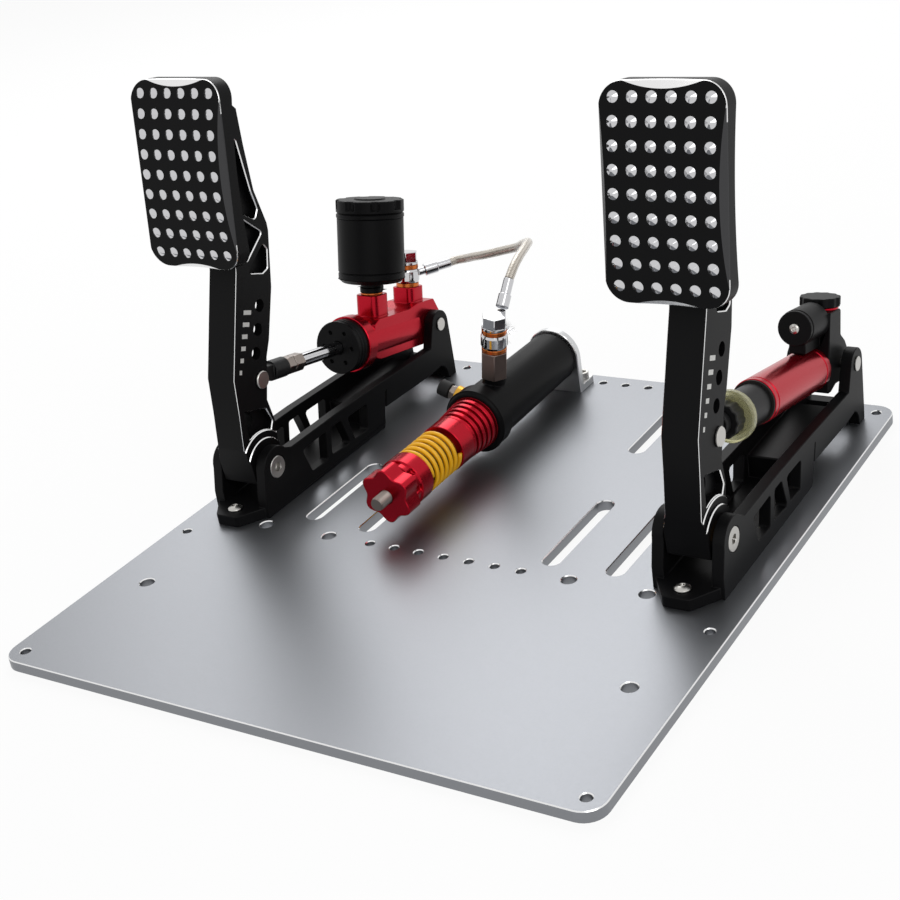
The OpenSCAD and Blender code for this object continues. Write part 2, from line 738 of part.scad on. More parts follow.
// The reservoir leans back a little on its neck
module on_neck(z) {
    on_port1() translate([0, reservoir_ds, port1_h]) rotate([-reservoir_lean, 0, 0]) translate([0, 0, z - port1_h]) children();
}
module reservoir_neck() {
    color(black) {
        on_port1() translate([0, 0, port1_h + 1.6]) cylinder(r = neck_r, h = 4);
        on_neck(port1_h + 3) cylinder(r = neck_r, h = neck_top - port1_h - 3 - 0.1);
        on_port1() translate([0, 0, port1_h - 7]) cylinder(r = neck_spigot_r, h = 10);
    }
}
module reservoir_groove() {
    difference() {
        cylinder(r = reservoir_r + 2, h = 1);
        translate([0, 0, -1]) cylinder(r = reservoir_r - 0.7, h = 3);
    }
}
module reservoir_body() {
    chamfer = 3;
    color(black) on_neck(neck_top) difference() {
        union() {
            cylinder(r1 = reservoir_r - chamfer, r2 = reservoir_r, h = chamfer);
            translate([0, 0, chamfer - eps]) cylinder(r = reservoir_r, h = reservoir_h - chamfer + eps);
        }
        translate([0, 0, 5]) cylinder(r = reservoir_r - reservoir_wall, h = reservoir_h);
        translate([0, 0, 7.5]) reservoir_groove();
    }
}
module reservoir_cap() {
    notches = 8;
    notch_z = 6.8;
    disk_h = 1;
    color(black) on_neck(neck_top + reservoir_h + 0.1) difference() {
        union() {
            cylinder(r = reservoir_r + 0.5, h = reservoir_cap_h - disk_h);
            cylinder(r = 12, h = reservoir_cap_h);
            translate([0, 0, -4]) cylinder(r = reservoir_r - reservoir_wall - running, h = 5);
        }
        for (i = [0:notches - 1]) rotate([0, 0, 360 / notches * i]) translate([reservoir_r + 2, 0, notch_z])
            cylinder(r = 4.2, h = reservoir_cap_h);
        translate([0, 0, 3.2]) reservoir_groove();
    }
}

// Banjo fittings, drawn along Z from the face that they seal on

washer_t = 3.1;
washer_r = 9.2;
banjo_r = 9.9;
banjo_h = 11;
bolt_flange_r = 9.2;
bolt_flange_h = 2.4;
bolt_head_af = 16.5;
bolt_head_h = 8;
banjo_mid = washer_t + 0.2 + banjo_h / 2;
module seal_washer(z) {
    translate([0, 0, z]) difference() {
        cylinder(r = washer_r, h = washer_t);
        translate([0, 0, -1]) cylinder(r = port_bolt_r + bolt_gap, h = washer_t + 2);
    }
}
module seal_washers() {
    seal_washer(0.05);
    seal_washer(washer_t + banjo_h + 0.35);
}
module banjo_ring() {
    translate([0, 0, banjo_mid]) intersection() {
        cylinder(r = banjo_r, h = banjo_h, center = true);
        sphere(r = banjo_r * 1.06);
    }
}
module banjo_bolt() {
    z = 2 * washer_t + banjo_h + 0.5;
    translate([0, 0, -9]) cylinder(r = port_bolt_r, h = z + 9 + eps);
    translate([0, 0, z]) cylinder(r = bolt_flange_r, h = bolt_flange_h);
    translate([0, 0, z + bolt_flange_h - eps]) hex(bolt_head_af, bolt_head_h);
}
// A round bar from a to b
module bar_between(a, b, r) {
    v = b - a;
    translate(a) rotate([0, acos(v[2] / norm(v)), atan2(v[1], v[0])]) cylinder(r = r, h = norm(v));
}

// The hose's route: the first point is at the master cylinder, the last at the slave
hose_route = [[-153, 479, 91.3], [-148.6, 483.2, 91.8], [-139.5, 483.5, 93.7], [-130, 480, 97], [-116.6, 475.7, 101],
              [-97.5, 473.1, 106.6], [-81.3, 469.2, 111.9], [-70, 461, 118.4], [-58.5, 449.7, 124.4], [-52, 437, 127.6],
              [-47.8, 425.4, 128.6], [-43.5, 409.7, 128.3], [-41.5, 398.7, 125.7], [-41, 391.6, 121.6],
              [-41, 388.5, 119.4]];

// Middle of the master's banjo ring
master_ring_h = port2_h + banjo_mid;
master_ring = [brake_x,
               rear_pin_y + port2_s * cos(line_tilt) + master_ring_h * sin(line_tilt),
               rear_pin_z - port2_s * sin(line_tilt) + master_ring_h * cos(line_tilt)];
hose_start = hose_route[0];
master_way = unit(hose_start - master_ring);
// The arm rises towards the hose, and at this radius it clears the upper washer by 0.3 mm
master_arm_r = 3.4;
module on_port2() {
    on_rear(brake_x) translate([0, port2_s, port2_h]) children();
}
module master_banjo() {
    color("#d6d6d4") difference() {
        union() {
            on_port2() banjo_ring();
            on_plate() bar_between(master_ring, master_ring + 15 * master_way, master_arm_r);
        }
        on_port2() translate([0, 0, -1]) cylinder(r = port_bolt_r + bolt_gap, h = 30);
    }
}
module master_banjo_bolt() {
    color("#d6d6d4") on_port2() banjo_bolt();
}
module master_washers() {
    color(copper) {
        on_port2() seal_washers();
        on_port1() translate([0, 0, port1_h + 0.05]) difference() {
            cylinder(r = neck_r - 0.4, h = 1.5);
            translate([0, 0, -1]) cylinder(r = neck_spigot_r + bolt_gap, h = 4);
        }
    }
}
module master_ferrule() {
    color("#d6d6d4") on_plate() {
        bar_between(master_ring + 15.05 * master_way, master_ring + 26 * master_way, 5);
        bar_between(master_ring + 25 * master_way, hose_start - 0.35 * master_way, 4.1);
    }
}

// Slave cylinder, drawn from its rear bracket forwards

slave_front_y = slave_rear_y - slave_l;
slave_foot_t = 6;
slave_foot_l = 22;
collar_l = 14.5;
collar_chamfer = 2;
collar_y = slave_front_y - collar_l;
sleeve_l = 29;
fin_front_r = 17.9;
fin_rear_r = 20.3;
sleeve_y = collar_y - sleeve_l;
rear_ring_l = 15.5;
rear_ring_y = sleeve_y - rear_ring_l;
spring_y = rear_ring_y - spring_l;
front_ring_l = 13.5;
ring_y = spring_y - front_ring_l;
neck_y = ring_y - 5;
knob_l = 14.5;
knob_y = neck_y - knob_l;
stud_y = knob_y - 11.5;
ring_out_r = spring_r + 0.4;
stud_hole_r = stud_rod_r + bolt_gap;
port_y = slave_front_y + 15;
port_top = slave_r + 3.6;
hex_l = 21.2;
bleed_boss_top = slave_r + 2.3;
bleed_seat_h = 4.5;
bleed_nut_z = bleed_boss_top + bleed_seat_h + 0.1;
bleed_cap_z = bleed_nut_z + 5.1;
bleed_y = slave_front_y + 7.8;

module on_port() {
    on_slave(port_y) rotate([0, port_lean, 0]) children();
}
module on_bleed() {
    on_slave(bleed_y) rotate([0, bleed_angle - 90, 0]) children();
}
module slave_bracket() {
    color("#bfc1c3") on_slave(slave_rear_y) difference() {
        union() {
            bar_y(slave_r + 0.6, 6);
            translate([-slave_r - 0.6, 0, -slave_z]) cube([2 * slave_r + 1.2, 6, slave_z]);
            translate([-slave_r - 0.6, 0, -slave_z]) cube([2 * slave_r + 1.2, slave_foot_l, slave_foot_t]);
        }
        for (sx = [-1, 1])
            translate([sx * slave_bolt_dx, slave_foot_y - slave_rear_y, -slave_z - 1])
                cylinder(r = bracket_screw_r + bolt_gap, h = slave_foot_t + 2);
    }
}
module slave_body() {
    color(black) difference() {
        union() {
            on_slave(slave_front_y) rotate([-90, 0, 0]) {
                cylinder(r1 = slave_r, r2 = slave_rear_r, h = slave_l - 2);
                translate([0, 0, slave_l - 2]) cylinder(r1 = slave_rear_r, r2 = slave_rear_r - 1.2, h = 2 - 0.05);
            }
            on_port() cylinder(r = 8.6, h = port_top);
            on_bleed() cylinder(r = 6.5, h = bleed_boss_top);
        }
        on_slave(slave_front_y - 1) bar_y(stud_hole_r, 26);
        on_port() translate([0, 0, port_top - 6]) cylinder(r = port_bolt_r + bolt_gap, h = 10);
        on_bleed() translate([0, 0, slave_r - 4]) cylinder(r = 2.6, h = 10);
    }
}
module slave_collar() {
    color(black) on_slave(collar_y) difference() {
        rotate([-90, 0, 0]) {
            cylinder(r1 = collar_r - collar_chamfer, r2 = collar_r, h = collar_chamfer);
            translate([0, 0, collar_chamfer - eps]) cylinder(r = collar_r, h = collar_l - collar_chamfer - 0.05 + eps);
        }
        translate([0, -1, 0]) bar_y(stud_hole_r, collar_l + 2);
    }
}
module slave_adaptor() {
    color("#6a5d58") on_port() translate([0, 0, port_top + 0.05]) difference() {
        union() {
            hex(18.2, hex_l);
            translate([0, 0, -5.5]) cylinder(r = port_bolt_r, h = 6);
        }
        translate([0, 0, hex_l - 11]) cylinder(r = port_bolt_r + bolt_gap, h = 12);
    }
}
module on_adaptor() {
    on_port() translate([0, 0, port_top + hex_l + 0.05]) children();
}
slave_ring_h = port_top + hex_l + 0.05 + banjo_mid;
slave_ring = [slave_x + slave_ring_h * sin(port_lean), port_y, slave_z + slave_ring_h * cos(port_lean)];
banjo_elbow = slave_ring + [-1.5, 12.8, 1];
banjo_end = slave_ring + [0.5, 14, 17];
banjo_arm_r = 3.3;
hose_end = hose_route[len(hose_route) - 1];
slave_way = unit(hose_end - banjo_end);
slave_ferrule_l = norm(hose_end - banjo_end);
ferrule_gap = banjo_arm_r * norm(cross(unit(banjo_end - banjo_elbow), slave_way)) + seat;
module slave_banjo() {
    color("#d6d6d4") difference() {
        union() {
            on_adaptor() banjo_ring();
            on_plate() {
                bar_between(slave_ring, banjo_elbow, banjo_arm_r);
                translate(banjo_elbow) sphere(r = banjo_arm_r);
                bar_between(banjo_elbow, banjo_end, banjo_arm_r);
            }
        }
        on_adaptor() translate([0, 0, -1]) cylinder(r = port_bolt_r + bolt_gap, h = 30);
    }
}
module slave_banjo_bolt() {
    color("#d6d6d4") on_adaptor() banjo_bolt();
}
module slave_washers() {
    color(copper) on_adaptor() seal_washers();
    color(brass) on_bleed() translate([0, 0, bleed_boss_top + 0.05]) difference() {
        cylinder(r = 7.2, h = bleed_seat_h);
        translate([0, 0, -1]) cylinder(r = 2.6, h = bleed_seat_h + 2);
    }
}
module slave_ferrule() {
    color("#d6d6d4") on_plate() {
        bar_between(banjo_end + ferrule_gap * slave_way, banjo_end + 0.5 * slave_ferrule_l * slave_way, 4.8);
        bar_between(banjo_end + 0.45 * slave_ferrule_l * slave_way, hose_end - 0.05 * slave_way, 3.9);
    }
}
module bleed_fitting() {
    color("#8a7d78") on_bleed() {
        translate([0, 0, bleed_nut_z]) hex(10, 5);
        translate([0, 0, slave_r - 3]) cylinder(r = 2.5, h = bleed_cap_z + 4 - slave_r + 3);
    }
}
module bleed_cap() {
    color(black) on_bleed() translate([0, 0, bleed_cap_z]) difference() {
        cylinder(r = 6.2, h = 9.5);
        translate([0, 0, -1]) cylinder(r = 2.6, h = 6);
    }
}
module finned_sleeve() {
    fins = 5;
    pitch = sleeve_l / fins;
    color(red) {
        on_slave(sleeve_y) difference() {
            rotate([-90, 0, 0]) cylinder(r1 = fin_front_r, r2 = fin_rear_r, h = sleeve_l - 0.05);
            translate([0, -1, 0]) bar_y(stud_hole_r, sleeve_l + 2);
            for (i = [0:fins - 1])
                translate([0, pitch * i + pitch * 0.5, 0]) tube_y(fin_rear_r + 2, fin_front_r - 2.4, pitch * 0.45);
        }
        on_slave(rear_ring_y) tube_y(ring_out_r, stud_hole_r, rear_ring_l - 0.05);
    }
}
module spring_core() {
    color("#a8801c") on_slave(spring_y) translate([0, 0.05, 0])
        tube_y(spring_r - 2 * spring_wire_r - 1.6, stud_hole_r, spring_l - 0.1);
}

// A tube of given sides through a list of rings
module swept(rings) {
    n = len(rings);
    m = len(rings[0]);
    polyhedron(
        points = [for (r = rings) each r],
        faces = concat(
            [[for (j = [0:m - 1]) j]],
            [for (i = [0:n - 2], j = [0:m - 1]) each
                [[i * m + j, (i + 1) * m + j, (i + 1) * m + (j + 1) % m],
                 [i * m + j, (i + 1) * m + (j + 1) % m, i * m + (j + 1) % m]]],
            [[for (j = [m - 1:-1:0]) (n - 1) * m + j]]));
}
curl_rings = 8;
wire_sides = 6;
spring_start = spring_wire_r + 0.2;
spring_run = spring_l - 2 * spring_start;
function spring_ring(i) =
    let (t = i / (curl_rings * spring_curls), a = 360 * spring_curls * t,
         rc = spring_r - spring_wire_r)
    [for (j = [0:wire_sides - 1])
        let (b = 360 * j / wire_sides, r = rc + spring_wire_r * cos(b))
        [r * cos(a), spring_start + spring_run * t + spring_wire_r * sin(b), r * sin(a)]];
spring_rings = [for (i = [0:curl_rings * spring_curls]) spring_ring(i)];
spring_gap = min([for (i = [0:len(spring_rings) - curl_rings - 1], p = spring_rings[i], q = spring_rings[i + curl_rings])
    norm(p - q)]);
echo(spring_gap = spring_gap);
module preload_spring() {
    color("#f2b21c") on_slave(spring_y) swept(spring_rings);
}
module preload_ring() {
    color(red) {
        on_slave(ring_y) tube_y(ring_out_r, stud_hole_r, front_ring_l - 0.05);
        on_slave(neck_y) difference() {
            bar_y(ring_out_r - 1.2, ring_y - neck_y + eps);
            translate([0, -1, 0]) bar_y(stud_hole_r, 20);
            for (i = [0:7]) rotate([0, 45 * i, 0]) translate([ring_out_r, -1, 0]) bar_y(3, 6);
        }
    }
}
module preload_knob() {
    lobes = 6;
    steps = 96;
    color(red) on_slave(knob_y) difference() {
        rotate([-90, 30, 0]) linear_extrude(knob_l - 0.1)
            polygon([for (i = [0:steps - 1]) let (a = 360 * i / steps) (18 + 2 * cos(lobes * a)) * [cos(a), sin(a)]]);
        translate([0, -1, 0]) bar_y(stud_rod_r + running, 30);
    }
}
module preload_stud() {
    color("#8a7d78") on_slave(stud_y) bar_y(stud_rod_r, slave_front_y + 22 - stud_y);
}

// Hose

function spline(p0, p1, p2, p3, t) =
    0.5 * (2 * p1 + (p2 - p0) * t + (2 * p0 - 5 * p1 + 4 * p2 - p3) * t * t + (3 * p1 - p0 - 3 * p2 + p3) * t * t * t);
function route_at(k, t) =
    let (n = len(hose_route) - 1)
    spline(hose_route[max(0, k - 1)], hose_route[k], hose_route[min(n, k + 1)], hose_route[min(n, k + 2)], t);
hose_path = concat([for (k = [0:len(hose_route) - 2], t = [0, 0.5]) route_at(k, t)], [hose_end]);
function hose_ring(i) =
    let (n = len(hose_path) - 1,
         way = i == 0 ? master_way : i == n ? -slave_way : unit(hose_path[i + 1] - hose_path[i - 1]),
         side = unit(cross(way, [0, 0, 1])), up = cross(side, way))
    [for (j = [0:hose_sides - 1])
        let (b = 360 * j / hose_sides) hose_path[i] + hose_r * (cos(b) * side + sin(b) * up)];
module brake_hose() {
    color("#c9bfb0") on_plate() swept([for (i = [0:len(hose_path) - 1]) hose_ring(i)]);
}

// Throttle damper

throttle_end_l = 30;
adjuster_s = throttle_end_l + 0.3;
adjuster_l = 12.5;
adjuster_r = 11.4;
plunger_l = 89;
bump_s = adjuster_s + adjuster_l + 0.1;
bump_l = 6.2;
plunger_s = bump_s + bump_l + 0.1;
cylinder_s = -130.4;
block_s = -28;
block_profile = [[block_s, -17], [block_s, 40], [-6.4, 40], [-5, 21.5], [4, 15.5], [10.6, 8], [12, 0], [9.6, -8],
                 [1.5, -13], [-12.4, -13], [-22, -17]];
piggyback_h = 34.6;
piggyback_s = -56.4;
knob_s = -11.4;
block_top = 40;
knob_shaft_r = 5;
thread_r = 4.9;

module throttle_rod_end() {
    rod_end_bore = thread_r + bolt_gap;
    color(black) on_line(throttle_x) difference() {
        union() {
            bar_x(eye_r, eye_w);
            translate([-eye_w / 2, 3, -5.5]) cube([eye_w, 22, 11]);
            translate([0, 23, 0]) bar_y(collar_end_r, throttle_end_l - 23);
        }
        bar_x(rod_pin_r + loose, eye_w + 2);
        translate([0, 17, 0]) bar_y(rod_end_bore, throttle_end_l);
    }
}
module adjuster_nut() {
    ribs = 12;
    steps = 96;
    color("#1f1f20") on_line(throttle_x, adjuster_s) difference() {
        rotate([-90, 0, 0]) linear_extrude(adjuster_l)
            polygon([for (i = [0:steps - 1]) let (a = 360 * i / steps) (adjuster_r + 0.4 * cos(ribs * a)) * [cos(a), sin(a)]]);
        translate([0, -1, 0]) bar_y(thread_r + running, 30);
    }
}
module bump_ring() {
    color([0.86, 0.85, 0.6, 0.8]) on_line(throttle_x, bump_s)
        tube_y(bump_ring_r, thread_r + bolt_gap, bump_l);
}
module damper_plunger() {
    color("#151516") on_line(throttle_x) {
        translate([0, 18, 0]) bar_y(thread_r, plunger_s - 18 + 1);
        translate([0, plunger_s, 0]) bar_y(plunger_r, plunger_l);
    }
}
module damper_wiper() {
    color("#d9d2c0") on_rear(throttle_x) translate([0, cylinder_s - 1.9, 0])
        tube_y(damper_r - 0.6, plunger_r + running, 1.8);
}
module damper_cylinder() {
    l = block_s - cylinder_s - 0.05;
    color(red) on_rear(throttle_x) translate([0, cylinder_s, 0]) difference() {
        bar_y(damper_r, l);
        translate([0, -1, 0]) bar_y(plunger_r + running, l - 1);
        for (y = [5, l - 8]) translate([0, y, 0]) tube_y(damper_r + 1, damper_r - 0.8, 1.2);
    }
}
module damper_block() {
    color(black) on_rear(throttle_x) difference() {
        union() {
            side_plate(rounded(block_profile, 2), 2 * block_half_w);
            translate([0, piggyback_s, piggyback_h]) bar_y(piggyback_r, block_s - piggyback_s + 1);
            translate([-6, piggyback_s + 2, damper_r + seat])
                cube([12, block_s - piggyback_s - 1, piggyback_h - damper_r - piggyback_r + 3]);
        }
        bar_x(rear_pin_r + running, 40);
        translate([0, knob_s, block_top - 12]) cylinder(r = knob_shaft_r + running, h = 20);
        translate([0, piggyback_s - 1, piggyback_h]) bar_y(2.6, 12);
    }
}
module knob_ring() {
    color(red) on_rear(throttle_x) translate([0, knob_s, block_top + 0.05]) difference() {
        cylinder(r = 12.8, h = 1.8);
        translate([0, 0, -1]) cylinder(r = knob_shaft_r + seat, h = 4);
    }
}
module damper_knob() {
    steps = 96;
    color(black) on_rear(throttle_x) translate([0, knob_s, block_top + 2]) {
        linear_extrude(6.6)
            polygon([for (i = [0:steps - 1])
                let (a = 360 * i / steps) (damper_knob_r - 0.5 + 0.5 * cos(12 * a)) * [cos(a), sin(a)]]);
        translate([0, 0, -12]) cylinder(r = knob_shaft_r, h = 13);
    }
}
module piggyback_cap() {
    color(black) on_rear(throttle_x) translate([0, piggyback_s - 3.7, piggyback_h])
        tube_y(piggyback_r - 0.4, 2.6, 3.6);
}
module piggyback_screw() {
    color(steel) on_rear(throttle_x) translate([0, piggyback_s - 3.75, piggyback_h]) rotate([90, 0, 0])
        button_screw(2.5, 3.6, 2, 12);
}

base_plate();
brake_bracket();
throttle_bracket();
mounting_bolts();
pivot_bolts();
rear_pins();
slave_bracket();
slave_body();
slave_collar();
slave_adaptor();
slave_banjo();
slave_banjo_bolt();
slave_washers();
slave_ferrule();
bleed_fitting();
bleed_cap();
finned_sleeve();
spring_core();
brake_hose();
preload_spring();
preload_ring();
preload_knob();
preload_stud();
brake_arm();
brake_pad();
brake_pad_studs();
brake_pad_screws();
brake_bushes();
brake_rod_pin();
throttle_arm();
throttle_pad();
throttle_pad_studs();
throttle_pad_screws();
throttle_bushes();
throttle_rod_pin();
master_body();
master_cap();
reservoir_neck();
reservoir_body();
reservoir_cap();
master_banjo();
master_banjo_bolt();
master_washers();
master_ferrule();
brake_rod_end();
jam_nuts();
pushrod();
master_piston();
damper_cylinder();
damper_wiper();
damper_block();
damper_knob();
knob_ring();
piggyback_cap();
piggyback_screw();
throttle_rod_end();
damper_plunger();
adjuster_nut();
bump_ring();
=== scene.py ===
"""Sim racing pedal set: the finished look of a hydraulic brake and a damped throttle on a base plate.

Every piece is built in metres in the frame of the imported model. Sizes in the tables below are in
millimetres, counted from the middle of the front edge of the base plate, on its top face.
"""

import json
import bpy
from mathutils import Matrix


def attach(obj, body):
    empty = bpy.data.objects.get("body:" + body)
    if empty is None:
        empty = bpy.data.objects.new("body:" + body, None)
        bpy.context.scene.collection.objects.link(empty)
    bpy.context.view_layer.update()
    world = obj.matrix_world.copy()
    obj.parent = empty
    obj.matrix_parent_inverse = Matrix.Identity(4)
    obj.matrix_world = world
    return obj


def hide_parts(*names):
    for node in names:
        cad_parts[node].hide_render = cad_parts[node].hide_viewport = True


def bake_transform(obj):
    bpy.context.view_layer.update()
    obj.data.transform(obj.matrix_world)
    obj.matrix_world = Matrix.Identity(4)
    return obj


bl_info = {
    "name": "Sim Racing Pedal Set",
    "version": (1, 0, 0),
    "blender": (4, 5, 0),
    "location": "View3D > Sidebar > Pedals",
    "description": "Builds the finished pieces of a brake and throttle pedal set",
    "category": "Add Mesh",
}

from math import pi, radians

import bmesh
import bpy
import numpy as np
from bpy.props import FloatProperty, FloatVectorProperty, IntProperty, PointerProperty
from mathutils import Matrix

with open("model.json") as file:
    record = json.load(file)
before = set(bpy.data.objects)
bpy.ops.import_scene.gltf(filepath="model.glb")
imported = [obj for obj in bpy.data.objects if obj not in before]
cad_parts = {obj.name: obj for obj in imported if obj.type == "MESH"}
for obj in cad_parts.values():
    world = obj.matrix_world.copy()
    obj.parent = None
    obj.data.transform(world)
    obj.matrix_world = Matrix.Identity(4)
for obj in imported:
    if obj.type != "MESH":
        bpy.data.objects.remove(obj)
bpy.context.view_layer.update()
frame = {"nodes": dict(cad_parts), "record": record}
record = frame["record"]
body_of = {node: body for body, nodes in record["behaviour"]["bodies"].items() for node in nodes}

MM = 0.001
PLATE_DEPTH = 484.0
PLATE_THICKNESS = 8.0
# Depth and height of the pivot bolts and of the rod pins, at rest
PIVOT = np.array([225.0, 31.7])
ROD_PIN = np.array([240.5, 92.0])
# Where the two arms stand across the plate, and the axis of the slave cylinder
PEDAL_X = {"brake": -176.5, "throttle": 173.7}
SLAVE_X, SLAVE_Z = -50.0, 29.7
ARM_WIDTH = 24.0
# The row of pin holes in the arm's side view, and the wide hole below it, in millimetres from the pivot
FIRST_HOLE = np.array([16, 80.4])
HOLE_PITCH = 16.9
HOLE_LINE = np.array([np.sin(radians(24)), np.cos(radians(24))])
WIDE_HOLE = np.array([-3, 35.5])
# The pad is a part of a tube with the radius PAD_BEND, shifted a little to the left of its arm
PAD_BEND = 372.0
PAD_CENTRE = np.array([216.0 + PAD_BEND, 195.5])
PAD_WIDTH = 77.0
PAD_CORNER = 14.0
PAD_THICKNESS = 12.5
PAD_SHIFT = -0.9
# The pad's ends along its face, below and above the height of that tube's axis
PAD_FOOT, PAD_TOP = -10.5, 115.8
# The width of the thin line round the pad's face
PAD_RIM = 0.35
STUD_ROWS, STUD_COLUMNS = 9, 6
# The braid of the hose: strands round it, and millimetres from one crossing to the next
BRAID_STRANDS, BRAID_CROSSING = 4, 2.6
# An edge is sharp where its two faces turn from each other by more than this
SHARP = radians(32)

# Outlines of the arm's front and back in its side view, in millimetres from the pivot
ARM_FRONT = np.array([(-14.8, -8), (-17.8, 20), (-14.6, 45.5), (-12.2, 71.3), (13.5, 141.9), (14.6, 146)])
ARM_BACK = np.array([(14.6, 146), (4.5, 159), (3.6, 180), (6.4, 210), (11.2, 236), (15.8, 256.8),
                     (34, 262), (48, 247), (47.6, 221.8), (48.5, 189.5), (55, 163.5), (55, 158),
                     (53.3, 150.9), (46, 119), (32.1, 84.4), (25.8, 73.5), (22.1, 60.3), (16.8, 44),
                     (20.1, 27), (16.5, 6)])


def linear(code):
    """An sRGB hex colour as linear red, green and blue."""
    s = np.array([int(code[i:i + 2], 16) for i in (1, 3, 5)]) / 255
    return tuple(float(v) for v in np.where(s <= 0.04045, s / 12.92, ((s + 0.055) / 1.055) ** 2.4))


# The user's settings

class PlateSettings(bpy.types.PropertyGroup):
    """The base plate."""

    colour: FloatVectorProperty(
        name="Plate colour", description="Satin aluminium of the base plate", subtype="COLOR",
        size=3, min=0, max=1, default=linear("#84868a"))
    chamfer: FloatProperty(
        name="Plate chamfer", description="Width of the chamfer round the plate and its holes",
        default=0.0006, min=0, max=0.002, unit="LENGTH")


class PedalSettings(bpy.types.PropertyGroup):
    """The brackets, arms and pads."""

    colour: FloatVectorProperty(
        name="Anodising colour", description="Black of the anodised aluminium", subtype="COLOR",
        size=3, min=0, max=1, default=linear("#0c0c0d"))
    chamfer: FloatProperty(
        name="Bright chamfer", description="Width of the cut edges that show bare metal",
        default=0.0006, min=0, max=0.0015, unit="LENGTH")
    tick_height: FloatProperty(
        name="Mark height", description="Height of each of the marks printed beside the pin holes",
        default=0.0031, min=0.002, max=0.006, unit="LENGTH")


class BrakeSettings(bpy.types.PropertyGroup):
    """The brake cylinder, its fittings, the hose and the slave cylinder."""

    colour: FloatVectorProperty(
        name="Red", description="Red of the anodised cylinders and rings", subtype="COLOR",
        size=3, min=0, max=1, default=linear("#ad0c22"))
    spring_colour: FloatVectorProperty(
        name="Spring colour", description="Paint on the preload spring", subtype="COLOR",
        size=3, min=0, max=1, default=linear("#ffc014"))
    spring_curls: IntProperty(
        name="Spring curls", description="Number of curls in the preload spring",
        default=6, min=4, max=9)
    wire_radius: FloatProperty(
        name="Spring wire radius", description="Radius of the spring's wire",
        default=0.0016, min=0.001, max=0.003, unit="LENGTH")
    hose_radius: FloatProperty(
        name="Hose radius", description="Radius of the brake hose",
        default=0.0035, min=0.002, max=0.005, unit="LENGTH")
    thread_pitch: FloatProperty(
        name="Thread pitch", description="Distance between two turns of the threads",
        default=0.0015, min=0.0008, max=0.003, unit="LENGTH")


class StageSettings(bpy.types.PropertyGroup):
    """The floor and the lamps."""

    floor_colour: FloatVectorProperty(
        name="Floor colour", description="Pale floor that the pedal set stands on", subtype="COLOR",
        size=3, min=0, max=1, default=linear("#fbfbfb"))
    key_power: FloatProperty(
        name="Key lamp", description="Power of the large lamp behind the set, in watts",
        default=20, min=0, max=200)
    fill_power: FloatProperty(
        name="Fill lamp", description="Power of the lamp beside the camera, in watts",
        default=9, min=0, max=200)


# Materials

def add(tree, kind, links=(), **values):
    """Adds a node, sets its fields and sockets by name, and links (socket, source) pairs to it."""
    made = tree.nodes.new(kind)
    for key, value in values.items():
        name = key.replace("_", " ")
        found = [s for s in made.inputs if s.name.lower() == name.lower()]
        if found:
            is_colour = found[0].type == "RGBA" and np.size(value) == 3
            found[0].default_value = (*value, 1) if is_colour else value
        else:
            setattr(made, key, value)
    for socket, source in links:
        tree.links.new(source, made.inputs[socket])
    return made


def empty_tree(owner):
    """Turns on the nodes of a material or a world, clears them and returns their tree."""
    owner.use_nodes = True
    owner.node_tree.nodes.clear()
    return owner.node_tree


def material(name, colour, roughness, metallic=0.0, bump=None, spread=0.0, **more):
    """A surface with one colour. bump is (grain in metres, depth in metres), and spread varies the gloss."""
    made = bpy.data.materials.get(name)
    if made:
        return made
    made = bpy.data.materials.new(name)
    tree = empty_tree(made)
    shader = add(tree, "ShaderNodeBsdfPrincipled", base_color=colour, roughness=roughness,
                 metallic=metallic, **more)
    if bump:
        grain, depth = bump
        place = add(tree, "ShaderNodeTexCoord")
        noise = add(tree, "ShaderNodeTexNoise", [("Vector", place.outputs["Object"])],
                    scale=1 / grain, detail=2.0)
        height = add(tree, "ShaderNodeBump", [("Height", noise.outputs["Fac"])], distance=depth)
        tree.links.new(height.outputs["Normal"], shader.inputs["Normal"])
        if spread:
            gloss = add(tree, "ShaderNodeMapRange", [("Value", noise.outputs["Fac"])],
                        to_min=roughness - spread, to_max=roughness + spread)
            tree.links.new(gloss.outputs["Result"], shader.inputs["Roughness"])
    add(tree, "ShaderNodeOutputMaterial", [("Surface", shader.outputs["BSDF"])])
    return made


def satin_aluminium():
    # Bead blasted and clear anodised: an even grey with a soft, wide reflection and a fine grain.
    # The grain is drawn 1.5 mm wide, coarser than the real one, so that it shows.
    return material("satin_anodised_aluminium", bpy.context.scene.pedal_plate.colour, 0.4, 1.0,
                    bump=(0.0015, 0.00001), spread=0.04)


def black_anodised():
    # Dyed anodising over milled aluminium: deep black with a weak, soft reflection.
    # Its grain is drawn 2 mm wide, coarser than the real one, so that it shows.
    return material("black_anodised_aluminium", bpy.context.scene.pedal_parts.colour, 0.42,
                    bump=(0.002, 0.000004), specular_ior_level=0.08)


def cut_edge():
    # Chamfer cut after anodising: bare polished metal that catches the light.
    return material("diamond_cut_aluminium", linear("#e4e4e4"), 0.22, 1.0)


def dark_edge():
    # Milled slope that was dyed with the face: dark, with a tighter reflection than the blasted face.
    return material("dyed_milled_aluminium", linear("#2a2a2c"), 0.3, specular_ior_level=0.45)


def red_anodised():
    # Bright dipped and dyed red: a metal whose whole reflection is red.
    return material("red_anodised_aluminium", bpy.context.scene.pedal_brake.colour, 0.24, 0.85)


def machined_steel():
    # Turned steel: grey metal with a fairly tight reflection.
    return material("turned_steel", linear("#b9b7b3"), 0.3, 1.0)


def stainless():
    # Warm grey stainless steel, drawn without its turning marks.
    return material("stainless_steel", linear("#8f8680"), 0.3, 1.0)


def dark_steel():
    # Bead blasted fitting: a dull brownish metal.
    return material("blasted_steel", linear("#7a6c66"), 0.42, 1.0)


